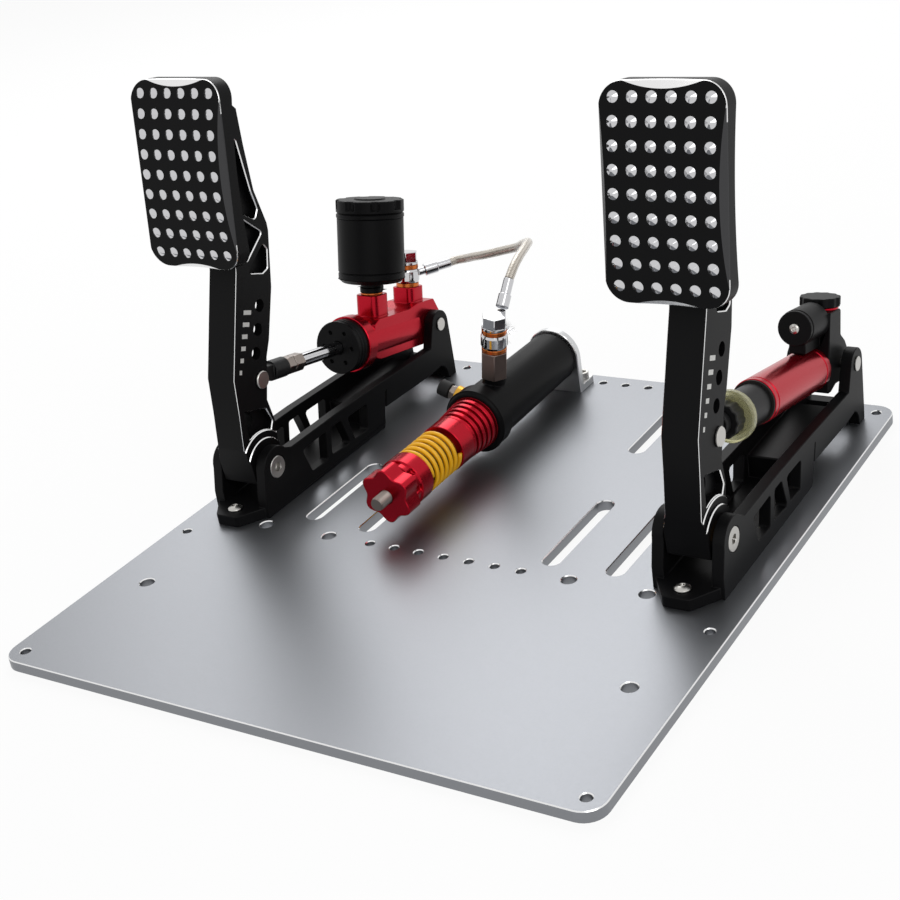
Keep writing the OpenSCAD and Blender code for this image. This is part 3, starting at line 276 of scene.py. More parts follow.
def polished():
    # Polished plated steel: nearly a mirror.
    return material("polished_plated_steel", linear("#c6c6c8"), 0.1, 1.0)


def copper():
    # Annealed copper sealing washer.
    return material("annealed_copper", linear("#c06a35"), 0.3, 1.0)


def brass():
    # Plain turned brass.
    return material("turned_brass", linear("#c9993f"), 0.3, 1.0)


def brass_darkened_as_shade():
    # The tube inside the spring: gold metal, and its dark tone is painted shade from the coils round it.
    return material("gold_metal_with_painted_shade", linear("#7a5a22"), 0.4, 1.0)


def cast_aluminium():
    # The small rear bracket: bright milled aluminium.
    return material("milled_aluminium", linear("#c9cacb"), 0.32, 1.0)


def black_nylon():
    # Moulded nylon: black with a soft sheen.
    return material("moulded_nylon", linear("#121213"), 0.45, specular_ior_level=0.2)


def black_rubber():
    # Moulded rubber cap: matt black.
    return material("moulded_rubber", linear("#151515"), 0.6, specular_ior_level=0.3)


def spring_paint():
    # Powder coated spring wire: an even warm yellow with a soft gloss.
    return material("powder_coat_yellow", bpy.context.scene.pedal_brake.spring_colour, 0.32,
                    specular_ior_level=0.5)


def clear_urethane():
    # Cast urethane bump ring: cloudy and slightly yellow, and light passes through it.
    return material("cast_urethane", linear("#e6e3b4"), 0.25, transmission_weight=0.75, ior=1.5)


def white_print():
    # Screen printed marks: thin pale grey ink.
    return material("screen_printed_ink", linear("#c9c9c6"), 0.5)


def wiper_rubber():
    # Moulded wiper ring at the damper's mouth: matt dark rubber.
    return material("moulded_wiper_rubber", linear("#1d1a18"), 0.6, specular_ior_level=0.2)


def braided_hose():
    """Clear sleeve over a steel braid: two sets of strands that cross, as diagonal waves of the hose's
    own map."""
    name = "sleeved_steel_braid"
    made = bpy.data.materials.get(name)
    if made:
        return made
    made = bpy.data.materials.new(name)
    tree = empty_tree(made)
    mapped = add(tree, "ShaderNodeUVMap", uv_map="along")
    parts = add(tree, "ShaderNodeSeparateXYZ", [("Vector", mapped.outputs["UV"])])
    waves = []
    for turn in (1.0, -1.0):
        slanted = add(tree, "ShaderNodeMath", [(0, parts.outputs["Y"])], operation="MULTIPLY_ADD")
        slanted.inputs[1].default_value = 2 * pi * BRAID_STRANDS * turn
        tree.links.new(parts.outputs["X"], slanted.inputs[2])
        waves.append(add(tree, "ShaderNodeMath", [(0, slanted.outputs[0])], operation="SINE"))
    crossing = add(tree, "ShaderNodeMath", [(0, waves[0].outputs[0]), (1, waves[1].outputs[0])],
                   operation="MULTIPLY")
    # The weave's pattern is real; its sunk cells get the darker colour as painted shade between the strands.
    weave_painted_shade = add(tree, "ShaderNodeMapRange", [("Value", crossing.outputs[0])],
               from_min=-1.0, from_max=1.0)
    mix = add(tree, "ShaderNodeMix", [("Factor", weave_painted_shade.outputs["Result"])], data_type="RGBA")
    mix.inputs[6].default_value = (*linear("#8f8578"), 1)
    mix.inputs[7].default_value = (*linear("#e9e2d6"), 1)
    height = add(tree, "ShaderNodeBump", [("Height", crossing.outputs[0])], distance=0.0001)
    shader = add(tree, "ShaderNodeBsdfPrincipled",
                 [("Base Color", mix.outputs[2]), ("Normal", height.outputs["Normal"])],
                 roughness=0.3, metallic=0.35, coat_weight=0.6, coat_roughness=0.12)
    add(tree, "ShaderNodeOutputMaterial", [("Surface", shader.outputs["BSDF"])])
    return made


# Shapes

def at(points, pedal_x=0.0):
    """Millimetres from the plate's front edge and top face, as metres in the model's frame."""
    return (np.asarray(points, float) + [pedal_x, -PLATE_DEPTH / 2, PLATE_THICKNESS]) * MM


def put_mesh(name, points, faces, finish, smooth=True):
    """Makes a mesh object from an (n, 3) array of points in metres and lists of corner numbers."""
    mesh = bpy.data.meshes.new(name)
    mesh.from_pydata([tuple(p) for p in points.tolist()], [], [tuple(f) for f in faces])
    mesh.polygons.foreach_set("use_smooth", np.full(len(mesh.polygons), smooth))
    mesh.materials.append(finish)
    made = bpy.data.objects.new(name, mesh)
    bpy.context.scene.collection.objects.link(made)
    return made


def grid_faces(rows, columns, close_rows=False, close_columns=True, ends=True):
    """Corner numbers of the quads between the rows of a grid, with a flat face on each open end."""
    i = np.arange(rows if close_rows else rows - 1)
    j = np.arange(columns if close_columns else columns - 1)
    i, j = (a.ravel() for a in np.meshgrid(i, j, indexing="ij"))
    n, m = (i + 1) % rows, (j + 1) % columns
    quads = np.stack([i * columns + j, i * columns + m, n * columns + m, n * columns + j], 1)
    faces = quads.tolist()
    if ends and close_columns and not close_rows:
        faces.append(list(range(columns))[::-1])
        faces.append([(rows - 1) * columns + k for k in range(columns)])
    return faces


def tube(path, radius, sides):
    """Rings of a round tube along a path: centre + r (cos v side + sin v up), with side and up square
    to the path's direction, worked out for the whole path at once. Returns an (n, sides, 3) array."""
    way = np.gradient(path, axis=0)
    way /= np.linalg.norm(way, axis=1, keepdims=True)
    side = np.cross(way, [0.0, 0.0, 1.0])
    side /= np.linalg.norm(side, axis=1, keepdims=True)
    up = np.cross(side, way)
    v = 2 * pi * np.arange(sides) / sides
    return path[:, None] + radius * (np.cos(v)[None, :, None] * side[:, None] +
                                     np.sin(v)[None, :, None] * up[:, None])


def threaded(radius, depth, pitch, length, turn_steps=24, pitch_steps=6):
    """A threaded bar along Y: at angle v and distance s, its radius is
    radius - depth |2 frac(s / pitch - v / 2 pi) - 1|, and the thread runs out over one pitch at each end.
    Sizes in millimetres; returns the grid of points and its faces."""
    s = np.linspace(0, length, int(length / pitch * pitch_steps) + 1)
    v = 2 * pi * np.arange(turn_steps) / turn_steps
    s2, v2 = np.meshgrid(s, v, indexing="ij")
    wave = np.abs(2 * np.mod(s2 / pitch - v2 / (2 * pi), 1.0) - 1)
    taper = np.clip(np.minimum(s2, length - s2) / pitch, 0, 1)
    r = radius - depth * (1 - taper + wave * taper)
    points = np.stack([r * np.cos(v2), s2, -r * np.sin(v2)], -1).reshape(-1, 3)
    return points, grid_faces(len(s), turn_steps)


def join_level(shape):
    """Joins the level faces of a plate in pairs, over the longest edges first, so that the edges that stay
    between its holes are short, and no chamfer folds them over."""
    def level(face):
        return abs(face.normal.z) > 0.999

    def between_level(line):
        return len(line.link_faces) == 2 and all(level(face) for face in line.link_faces)

    bmesh.ops.beautify_fill(shape, faces=[face for face in shape.faces if level(face)],
                            edges=[line for line in shape.edges if between_level(line)], method="AREA")
    inner = [line for line in shape.edges if between_level(line)]
    for line in sorted(inner, key=lambda line: -line.calc_length()):
        one, other = line.link_faces
        if sum(other in shared.link_faces for shared in one.edges) == 1:
            bmesh.utils.face_join([one, other], False)


def dress(node, finish, chamfer=0.0, edge=None, segments=1, pick=None, plate=False):
    """Stands in for a CAD node: its solid is merged into whole faces, and its sharp edges get a chamfer
    of the given width in metres, in the finish of the edge. pick takes the two ends of all sharp edges
    that stand out, and returns what share of the width each gets. plate joins level faces with many
    holes in a cleaner order."""
    source = frame["nodes"][node]
    mesh = source.data.copy()
    mesh.name = node + "_finished"
    made = bpy.data.objects.new(mesh.name, mesh)
    bpy.context.scene.collection.objects.link(made)
    shape = bmesh.new()
    shape.from_mesh(mesh)
    same_place, no_width, same_plane = 2e-6, 5e-6, radians(0.4)
    bmesh.ops.remove_doubles(shape, verts=shape.verts, dist=same_place)
    # Faces with no area would turn flat edges into sharp ones
    bmesh.ops.dissolve_degenerate(shape, edges=shape.edges, dist=no_width)
    if plate:
        join_level(shape)
    bmesh.ops.dissolve_limit(shape, angle_limit=same_plane, use_dissolve_boundaries=False,
                             verts=shape.verts, edges=shape.edges, delimit=set())
    for face in shape.faces:
        face.smooth = True
        face.material_index = 0
    for line in shape.edges:
        line.smooth = len(line.link_faces) == 2 and line.calc_face_angle(pi) < SHARP
    if pick:
        weight = shape.edges.layers.float.new("bevel_weight_edge")
        sharp = [line for line in shape.edges if not line.smooth and line.is_convex]
        share = pick(np.array([[vert.co[:] for vert in line.verts] for line in sharp]))
        for line, part in zip(sharp, share):
            line[weight] = part
    shape.to_mesh(mesh)
    shape.free()
    mesh.materials.clear()
    mesh.materials.append(finish)
    if edge:
        mesh.materials.append(edge)
    if chamfer:
        cut = made.modifiers.new("chamfer", "BEVEL")
        cut.width = chamfer
        cut.segments = segments
        cut.limit_method = "WEIGHT" if pick else "ANGLE"
        cut.angle_limit = SHARP
        cut.use_clamp_overlap = False
        cut.material = 1 if edge else -1
        cut.mark_sharp = True
        # Large flat faces keep their own direction right up to the chamfers
        even = made.modifiers.new("even_shading", "WEIGHTED_NORMAL")
        even.keep_sharp = True
    return settle(made, node)


def settle(made, node):
    """Fixes a piece to the body of the CAD node that it stands for, and hides that node."""
    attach(made, body_of[node])
    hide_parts(node)
    return made


def paint(node, finish):
    """Gives a CAD node, whose shape is kept as it is, its finish."""
    data = frame["nodes"][node].data
    data.materials.clear()
    data.materials.append(finish)


# Pieces

class PEDALS_OT_base_plate(bpy.types.Operator):
    """The base plate with its holes and slots."""

    bl_idname = "pedals.base_plate"
    bl_label = "Base Plate"

    def execute(self, context):
        dress("base_plate", satin_aluminium(), context.scene.pedal_plate.chamfer, cut_edge(), plate=True)
        return {"FINISHED"}


class PEDALS_OT_brackets(bpy.types.Operator):
    """The two pedal brackets and the bolts and pins through them."""

    bl_idname = "pedals.brackets"
    bl_label = "Brackets"

    def execute(self, context):
        chamfer = context.scene.pedal_parts.chamfer
        for node in ("brake_bracket", "throttle_bracket"):
            dress(node, black_anodised(), chamfer * 0.7, black_anodised())
        for node in ("mounting_bolts", "pivot_bolts", "rear_pins"):
            dress(node, machined_steel(), chamfer * 0.5)
        return {"FINISHED"}


class PEDALS_OT_arms(bpy.types.Operator):
    """The two pedal arms with bright cut edges, and the printed marks beside their pin holes."""

    bl_idname = "pedals.arms"
    bl_label = "Pedal Arms"

    def execute(self, context):
        settings = context.scene.pedal_parts
        for side in PEDAL_X:
            dress(side + "_arm", black_anodised(), settings.chamfer, cut_edge(),
                  pick=lambda ends, side=side: self.bright_edges(ends, side))
            dress(side + "_bushes", brass(), 0.0002)
            dress(side + "_rod_pin", machined_steel(), 0.0006)
            dress(side + "_pad_screws", machined_steel(), 0.0004)
            self.marks(side, settings.tick_height / MM)
        return {"FINISHED"}

    @staticmethod
    def bright_edges(ends, side):
        """The rims of the pockets and the two steps of the hub get the whole width, and the line down the
        arm's front gets half of it. Pin holes and the rest of the outline stay dark. Everything is worked
        out from each edge's ends and middle, in millimetres from the pivot."""
        p = ends / MM - [PEDAL_X[side], PIVOT[0] - PLATE_DEPTH / 2, PIVOT[1] + PLATE_THICKNESS]
        side_gap, line_gap = 0.05, 0.6
        across = np.abs(p[:, :, 0])
        middle = p.mean(axis=1)[:, 1:]
        on_side = (np.abs(across - ARM_WIDTH / 2) < side_gap).all(axis=1)
        share = on_side.astype(float)
        holes = np.concatenate([[ROD_PIN - PIVOT, WIDE_HOLE],
                                FIRST_HOLE + HOLE_PITCH * np.arange(3)[:, None] * HOLE_LINE])
        # Just past the rims of the pin holes and of the wide hole
        pin_rim, wide_rim = 5.2, 7.0
        gap = np.linalg.norm(middle[:, None] - holes[None], axis=2)
        share[(gap < [pin_rim, wide_rim, pin_rim, pin_rim, pin_rim]).any(axis=1)] = 0
        for line, part in ((ARM_BACK, 0.0), (ARM_FRONT, 0.5)):
            a, b = line[:-1], line[1:]
            t = np.clip(((middle[:, None] - a) * (b - a)).sum(2) / ((b - a) ** 2).sum(1), 0, 1)
            away = np.linalg.norm(middle[:, None] - a - t[..., None] * (b - a), axis=2).min(axis=1)
            share[(away < line_gap) & on_side] = part
        out = np.linalg.norm(p[:, :, 1:], axis=2)
        # Radius and half width of the hub's two steps
        for radius, half in ((25.5, 13.0), (20.5, 14.5)):
            share[((np.abs(out - radius) < 0.2) & (np.abs(across - half) < 0.1)).all(axis=1)] = 1
        return share

    @staticmethod
    def marks(side, height):
        """Six printed bars on each side of the arm: bar k starts 8.4 k mm down the line of the pin holes,
        runs back and a little down, and its width shrinks evenly from 8 mm to 2.5 mm. Each is 0.06 mm
        thick."""
        bars, step, ink = 6, 8.4, 0.06
        first_mark = np.array([236.8, 143.2])
        k = np.arange(bars)
        left = first_mark - step * k[:, None] * HOLE_LINE
        width = 8 - 1.1 * k
        run, rise = np.array([0.93, -0.36]), np.array([0.36, 0.93])
        corners, faces = [], []
        for face_x, out in ((ARM_WIDTH / 2, 1), (-ARM_WIDTH / 2, -1)):
            box = np.array([[0, 0, 0], [0, 1, 0], [0, 1, 1], [0, 0, 1],
                            [1, 0, 0], [1, 1, 0], [1, 1, 1], [1, 0, 1]], float)
            flat = (left[:, None] + box[None, :, 1:2] * width[:, None, None] * run +
                    box[None, :, 2:] * height * rise)
            pts = np.concatenate([face_x + ink * out * np.broadcast_to(box[:, :1], (bars, 8, 1)), flat], 2)
            first = len(corners) * 8
            sides = np.array([[3, 2, 1, 0], [4, 5, 6, 7], [0, 1, 5, 4],
                              [1, 2, 6, 5], [2, 3, 7, 6], [3, 0, 4, 7]])
            if out < 0:
                sides = sides[:, ::-1]
            faces += (sides[None] + (first + 8 * k)[:, None, None]).reshape(-1, 4).tolist()
            corners += list(pts)
        points = at(np.array(corners).reshape(-1, 3), PEDAL_X[side])
        made = put_mesh(side + "_arm_marks", points, faces, white_print(), smooth=False)
        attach(made, body_of[side + "_arm"])


class PEDALS_OT_pads(bpy.types.Operator):
    """The two bent pads and their rows of studs."""

    bl_idname = "pedals.pads"
    bl_label = "Pedal Pads"

    def execute(self, context):
        for side in PEDAL_X:
            self.pad(side)
            self.studs(side)
        return {"FINISHED"}

    @staticmethod
    def outline(width, length, radius):
        """A rounded rectangle, with as many points on the left as on the right at the same heights:
        quarter circles at the corners, and even steps along the sides."""
        top_points, side_points = 16, 24
        turn = np.linspace(0, pi / 2, 13)
        half = np.array([width / 2 - radius, length / 2 - radius])
        quarter = half + radius * np.stack([np.sin(turn), np.cos(turn)], 1)
        top = np.stack([np.linspace(0, half[0], top_points + 1)[:-1], np.full(top_points, length / 2)], 1)
        down = np.linspace(half[1], -half[1], side_points + 2)[1:-1]
        right = np.stack([np.full(side_points, width / 2), down], 1)
        one = np.concatenate([top, quarter, right, quarter[::-1] * [1, -1], top[::-1] * [1, -1]])
        return np.concatenate([one, one[-2:0:-1] * [-1, 1]])

    def pad(self, side):
        """The pad as rings of points, in a frame whose x runs across, w up the chord and y into the pad.
        The face is y = r0 - sqrt(R^2 - w^2) with R 372, and the back the same with 359.5. The side slopes
        are y = |x| - 40, and the cut at each short end is y = 82 - the distance from a point on the middle
        line. The front surface is the largest of these. Each ring point moves straight inwards to the
        middle line, and the width of the slope at it is found by halving an interval."""
        first, last = PAD_FOOT / PAD_BEND, PAD_TOP / PAD_BEND
        middle, spread = (first + last) / 2, (last - first) / 2
        base = PAD_BEND * np.cos(spread)
        length = 2 * PAD_BEND * np.sin(spread)
        edge = self.outline(PAD_WIDTH, length, PAD_CORNER)
        target_y = np.clip(edge[:, 1], PAD_WIDTH / 2 - length / 2, length / 2 - PAD_WIDTH / 2)
        target = np.stack([0 * edge[:, 0], target_y], 1)
        inward = target - edge
        reach = np.linalg.norm(inward, axis=1)

        def face(p):
            return base - np.sqrt(PAD_BEND ** 2 - p[..., 1] ** 2)

        # Radius of the cuts at the two ends, how deep each goes, and where the side slopes start
        cut_radius, top_cut, foot_cut, side_start = 82, 3.8, 2.5, 40

        def slope(p):
            up = cut_radius - np.hypot(p[..., 0], length / 2 + cut_radius - top_cut - p[..., 1])
            down = cut_radius - np.hypot(p[..., 0], length / 2 + cut_radius - foot_cut + p[..., 1])
            return np.maximum.reduce([np.abs(p[..., 0]) - side_start, up, down])

        def back(p):
            return base - np.sqrt((PAD_BEND - PAD_THICKNESS) ** 2 - p[..., 1] ** 2)

        low, high = np.zeros(len(edge)), np.full(len(edge), 0.5)
        for _ in range(40):
            t = (low + high) / 2
            p = edge + t[:, None] * inward
            cut = slope(p) > face(p)
            low, high = np.where(cut, t, low), np.where(cut, high, t)
        width = np.maximum(low * reach, PAD_RIM)
        rim_y = face(edge) + np.maximum(slope(edge) - face(edge), PAD_RIM)
        inner = edge + (width / reach)[:, None] * inward
        part = np.minimum(0.5, PAD_RIM / width)[:, None]
        outer = np.concatenate([edge, rim_y[:, None]], 1)
        foot = np.concatenate([inner, face(inner)[:, None]], 1)
        # Rings across the back, round the edge and its slope, and across the face
        rings = [np.concatenate([target, back(target)[:, None]], 1)]
        for t in (0.66, 0.33, 0.0):
            p = edge + t * inward
            rings.append(np.concatenate([p, back(p)[:, None]], 1))
        rings += [outer + [0, 0, PAD_RIM], outer + part * (foot - outer), foot]
        for t in (0.15, 0.4, 0.7, 1.0):
            p = inner + t * (target - inner)
            rings.append(np.concatenate([p, face(p)[:, None]], 1))
        grid = np.array(rings).reshape(-1, 3)
        x, w, y = grid[:, 0] + PAD_SHIFT, grid[:, 1], grid[:, 2] - base
        turned = np.stack([x, PAD_CENTRE[0] + y * np.cos(middle) + w * np.sin(middle),
                           PAD_CENTRE[1] - y * np.sin(middle) + w * np.cos(middle)], 1)
        count = len(edge)
        faces = grid_faces(len(rings), count, ends=False)
        made = put_mesh(side + "_pad_finished", at(turned, PEDAL_X[side]), faces, black_anodised())
        made.data.materials.append(cut_edge())
        made.data.materials.append(dark_edge())
        finish = np.zeros((len(rings) - 1, count), int)
        bare, dyed = 1, 2
        line_row, slope_row = 4, 5
        from_end = length / 2 - np.abs(edge[:, 1])
        # The thin line round the face is bare metal at the two ends and dyed along the sides
        finish[line_row] = np.where(from_end < 18, bare, dyed)
        bright = (from_end < 6) & (np.abs(edge[:, 0]) < 26)
        # Where there is no slope, only the thin line is left
        finish[slope_row] = np.where(width > PAD_RIM + 0.01, np.where(bright, bare, dyed), bare)
        made.data.polygons.foreach_set("material_index", finish.ravel().astype(np.int32))
        shape = bmesh.new()
        shape.from_mesh(made.data)
        bmesh.ops.remove_doubles(shape, verts=shape.verts, dist=1e-6)
        bmesh.ops.recalc_face_normals(shape, faces=shape.faces)
        shape.to_mesh(made.data)
        shape.free()
        made.data.set_sharp_from_angle(angle=radians(15))
        settle(made, side + "_pad")

    @staticmethod
    def studs(side):
        """Blunt cones: one lathed profile, 3.4 mm in radius at the foot and 2.2 mm high with a rounded tip,
        over a short shank, turned to the pad's face at each place. Row k stands at the angle k 13.35 / 372
        round the pad's centre, and column j at (j - 2.5) 11.8 - 0.9."""
        height, row_step, column_step = 2.2, 13.35, 11.8
        profile = np.array([[1.9, -1.5], [1.9, -0.05], [3.4, 0], [3.4, 0.25],
                            [1.1, 1.72], [0.8, 1.93], [0.4, 2.12]])
        rows, sides = len(profile), 20
        v = 2 * pi * np.arange(sides) / sides
        one = np.stack([profile[:, :1] * np.cos(v), np.broadcast_to(-profile[:, 1:], (rows, sides)),
                        profile[:, :1] * np.sin(v)], -1).reshape(-1, 3)
        one = np.concatenate([one, [[0, -height, 0]]])
        each = len(one)
        places = np.meshgrid(np.arange(STUD_ROWS), np.arange(STUD_COLUMNS), indexing="ij")
        row, column = (a.ravel() for a in places)
        angle = (row * row_step / PAD_BEND)[:, None]
        y, z = one[None, :, 1], one[None, :, 2]
        across = (column - (STUD_COLUMNS - 1) / 2) * column_step + PAD_SHIFT
        foot = np.stack([across, PAD_CENTRE[0] - PAD_BEND * np.cos(angle[:, 0]),
                         PAD_CENTRE[1] + PAD_BEND * np.sin(angle[:, 0])], 1)
        turned = np.stack([one[None, :, 0] + 0 * angle, y * np.cos(angle) + z * np.sin(angle),
                           z * np.cos(angle) - y * np.sin(angle)], -1)
        points = (foot[:, None] + turned).reshape(-1, 3)
        grid = np.array(grid_faces(rows, sides, ends=False))
        k = np.arange(sides)
        last_ring = (rows - 1) * sides
        tip = np.stack([last_ring + k, last_ring + (k + 1) % sides, np.full(sides, each - 1)], 1)
        steps = (np.arange(STUD_ROWS * STUD_COLUMNS) * each)[:, None, None]
        faces = (grid[None] + steps).reshape(-1, 4).tolist() + (tip[None] + steps).reshape(-1, 3).tolist()
        faces += (k[::-1][None] + steps[:, 0]).tolist()
        made = put_mesh(side + "_pad_studs_finished", at(points, PEDAL_X[side]), faces, polished())
        made.data.set_sharp_from_angle(angle=radians(40))
        settle(made, side + "_pad_studs")


class PEDALS_OT_master_cylinder(bpy.types.Operator):
    """The red brake cylinder, its cap, the push rod and the fluid reservoir."""

    bl_idname = "pedals.master_cylinder"
    bl_label = "Brake Cylinder"

    def execute(self, context):
        dress("master_body", red_anodised(), 0.0005)
        dress("master_cap", black_anodised(), 0.0005, black_anodised())
        dress("reservoir_neck", black_anodised(), 0.0004)
        dress("reservoir_body", black_anodised(), 0.0004)
        dress("reservoir_cap", black_anodised(), 0.0006)
        dress("brake_rod_end", black_nylon(), 0.0006)
        dress("jam_nuts", stainless(), 0.0004)
        dress("pushrod", polished())
        paint("master_piston", machined_steel())
        return {"FINISHED"}


class PEDALS_OT_fittings(bpy.types.Operator):
    """The banjo fittings, washers and ferrules at both ends of the hose."""

    bl_idname = "pedals.fittings"
    bl_label = "Hose Fittings"

    def execute(self, context):
        for side in ("master", "slave"):
            dress(side + "_banjo", polished(), 0.0003)
            dress(side + "_banjo_bolt", polished(), 0.0004)
            dress(side + "_ferrule", polished(), 0.0004)
            washers = dress(side + "_washers", copper(), 0.0003)
        # The seat of the bleed fitting lies well below the washers of the banjo, and is brass
        seat_below = 0.07
        low = np.array([face.center.z for face in washers.data.polygons]) < seat_below
        washers.data.materials.append(brass())
        washers.data.polygons.foreach_set("material_index", low.astype(np.int32))
        return {"FINISHED"}


class PEDALS_OT_slave_cylinder(bpy.types.Operator):
    """The slave cylinder with its bracket, collar, ports, sleeve, rings, star knob and threaded stud."""

    bl_idname = "pedals.slave_cylinder"
    bl_label = "Slave Cylinder"

    def execute(self, context):
        dress("slave_bracket", cast_aluminium(), 0.0006, cut_edge())
        dress("slave_body", black_anodised(), 0.0005)
        dress("slave_collar", black_anodised(), 0.0006)
        dress("slave_adaptor", dark_steel(), 0.0005)
        dress("bleed_fitting", stainless(), 0.0004)
        dress("bleed_cap", black_rubber(), 0.0008, segments=2)
        dress("finned_sleeve", red_anodised(), 0.0004)
        # The core's dark gold is painted shade from the spring round it.
        dress("spring_core", brass_darkened_as_shade())
        dress("preload_ring", red_anodised(), 0.0005)
        dress("preload_knob", red_anodised(), 0.0006)
        radius, depth, length, front_y = 5.0, 0.7, 164, 200
        points, faces = threaded(radius, depth, context.scene.pedal_brake.thread_pitch / MM, length)
        points = at(points + [SLAVE_X, front_y, SLAVE_Z])
        made = put_mesh("preload_stud_finished", points, faces, stainless(), smooth=False)
        settle(made, "preload_stud")
        return {"FINISHED"}


class PEDALS_OT_preload_spring(bpy.types.Operator):
    """The yellow spring in front of the slave cylinder."""

    bl_idname = "pedals.preload_spring"
    bl_label = "Preload Spring"

    def execute(self, context):
        """The wire's centre is (R cos a, s, R sin a), with s rising evenly from end to end."""
        settings = context.scene.pedal_brake
        wire = settings.wire_radius / MM
        outside, length, first_y = 17.6, 39.5, 244.5
        radius = outside - wire
        # The wire starts and ends 0.2 mm inside the rings that the spring stands between
        start = wire + 0.2
        rise = length - 2 * start
        turns = 2 * pi * settings.spring_curls
        curl_steps, sides = 32, 12
        t = np.linspace(0, 1, settings.spring_curls * curl_steps + 1)
        a = turns * t
        s = start + rise * t
        way = np.stack([-radius * np.sin(a), np.full_like(a, rise / turns), radius * np.cos(a)], 1)
        out = np.stack([np.cos(a), np.zeros_like(a), np.sin(a)], 1)
        up = np.cross(way, out)
        up /= np.linalg.norm(up, axis=1, keepdims=True)
        v = (2 * pi * np.arange(sides) / sides)[None, :, None]
        centre = out * radius + np.stack([0 * a, s, 0 * a], 1)
        rings = centre[:, None] + wire * (np.cos(v) * out[:, None] - np.sin(v) * up[:, None])
        points = at(rings.reshape(-1, 3) + [SLAVE_X, first_y, SLAVE_Z])
        made = put_mesh("preload_spring_finished", points, grid_faces(len(t), sides), spring_paint())
        settle(made, "preload_spring")
        return {"FINISHED"}


# The middle of the hose, from the brake cylinder to the slave cylinder
HOSE_ROUTE = [(-153, 479, 91.3), (-148.6, 483.2, 91.8), (-139.5, 483.5, 93.7), (-130, 480, 97),
              (-116.6, 475.7, 101), (-97.5, 473.1, 106.6), (-81.3, 469.2, 111.9), (-70, 461, 118.4),
              (-58.5, 449.7, 124.4), (-52, 437, 127.6), (-47.8, 425.4, 128.6), (-43.5, 409.7, 128.3),
              (-41.5, 398.7, 125.7), (-41, 391.6, 121.6), (-41, 388.5, 119.4)]


class PEDALS_OT_brake_hose(bpy.types.Operator):
    """The hose from the brake cylinder to the slave cylinder."""

    bl_idname = "pedals.brake_hose"
    bl_label = "Brake Hose"

    def execute(self, context):
        """A Catmull-Rom curve through the route's points, swept into a round tube. Its map runs along the
        hose in units in which one crossing of the braid is 2 pi, and once round it."""
        steps, sides = 12, 24
        route = np.array(HOSE_ROUTE, float)
        ends = np.concatenate([[2 * route[0] - route[1]], route, [2 * route[-1] - route[-2]]])
        t = np.linspace(0, 1, steps, endpoint=False)[None, :, None]
        p0, p1, p2, p3 = (ends[k:len(ends) - 3 + k, None] for k in range(4))
        path = (0.5 * (2 * p1 + (p2 - p0) * t + (2 * p0 - 5 * p1 + 4 * p2 - p3) * t ** 2 +
                       (3 * p1 - p0 - 3 * p2 + p3) * t ** 3)).reshape(-1, 3)
        path = np.concatenate([path, route[-1:]])
        rings = tube(path, context.scene.pedal_brake.hose_radius / MM, sides)
        made = put_mesh("brake_hose_finished", at(rings.reshape(-1, 3)), grid_faces(len(path), sides),
                        braided_hose())
        lengths = np.linalg.norm(np.diff(path, axis=0), axis=1)
        along = np.concatenate([[0], np.cumsum(lengths)]) * 2 * pi / BRAID_CROSSING
        mesh = made.data
        corner = np.zeros(len(mesh.loops), int)
        mesh.loops.foreach_get("vertex_index", corner)
        # Faces across the seam end at 1 on their far side, not at 0
        u = along[corner // sides]
        v = (corner % sides) / sides
        last = np.maximum.reduceat(corner % sides, np.arange(0, len(corner) - 2 * sides, 4))
        seam = np.concatenate([np.repeat(last == sides - 1, 4), np.zeros(2 * sides, bool)])
        v = np.where((v == 0) & seam, 1.0, v)
        layer = mesh.uv_layers.new(name="along")
        layer.data.foreach_set("uv", np.stack([u, v], 1).astype(np.float32).ravel())
        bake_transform(made)
        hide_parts("brake_hose")
        return {"FINISHED"}


class PEDALS_OT_damper(bpy.types.Operator):
    """The throttle's damper: rod, nut, clear ring, plunger, red cylinder, rear block and knob."""

    bl_idname = "pedals.damper"
    bl_label = "Throttle Damper"

    def execute(self, context):
        dress("damper_cylinder", red_anodised(), 0.0004)
        dress("damper_wiper", wiper_rubber())
        dress("damper_block", black_anodised(), 0.0006)
        dress("damper_knob", black_anodised(), 0.0005)
        dress("knob_ring", red_anodised(), 0.0003)
        dress("piggyback_cap", black_anodised(), 0.0004)
        dress("piggyback_screw", machined_steel(), 0.0003)
        dress("throttle_rod_end", black_nylon(), 0.0006)
        dress("damper_plunger", black_nylon(), 0.0008, segments=2)
        dress("adjuster_nut", black_nylon(), 0.0006)
        dress("bump_ring", clear_urethane(), 0.0012, segments=2)
        return {"FINISHED"}


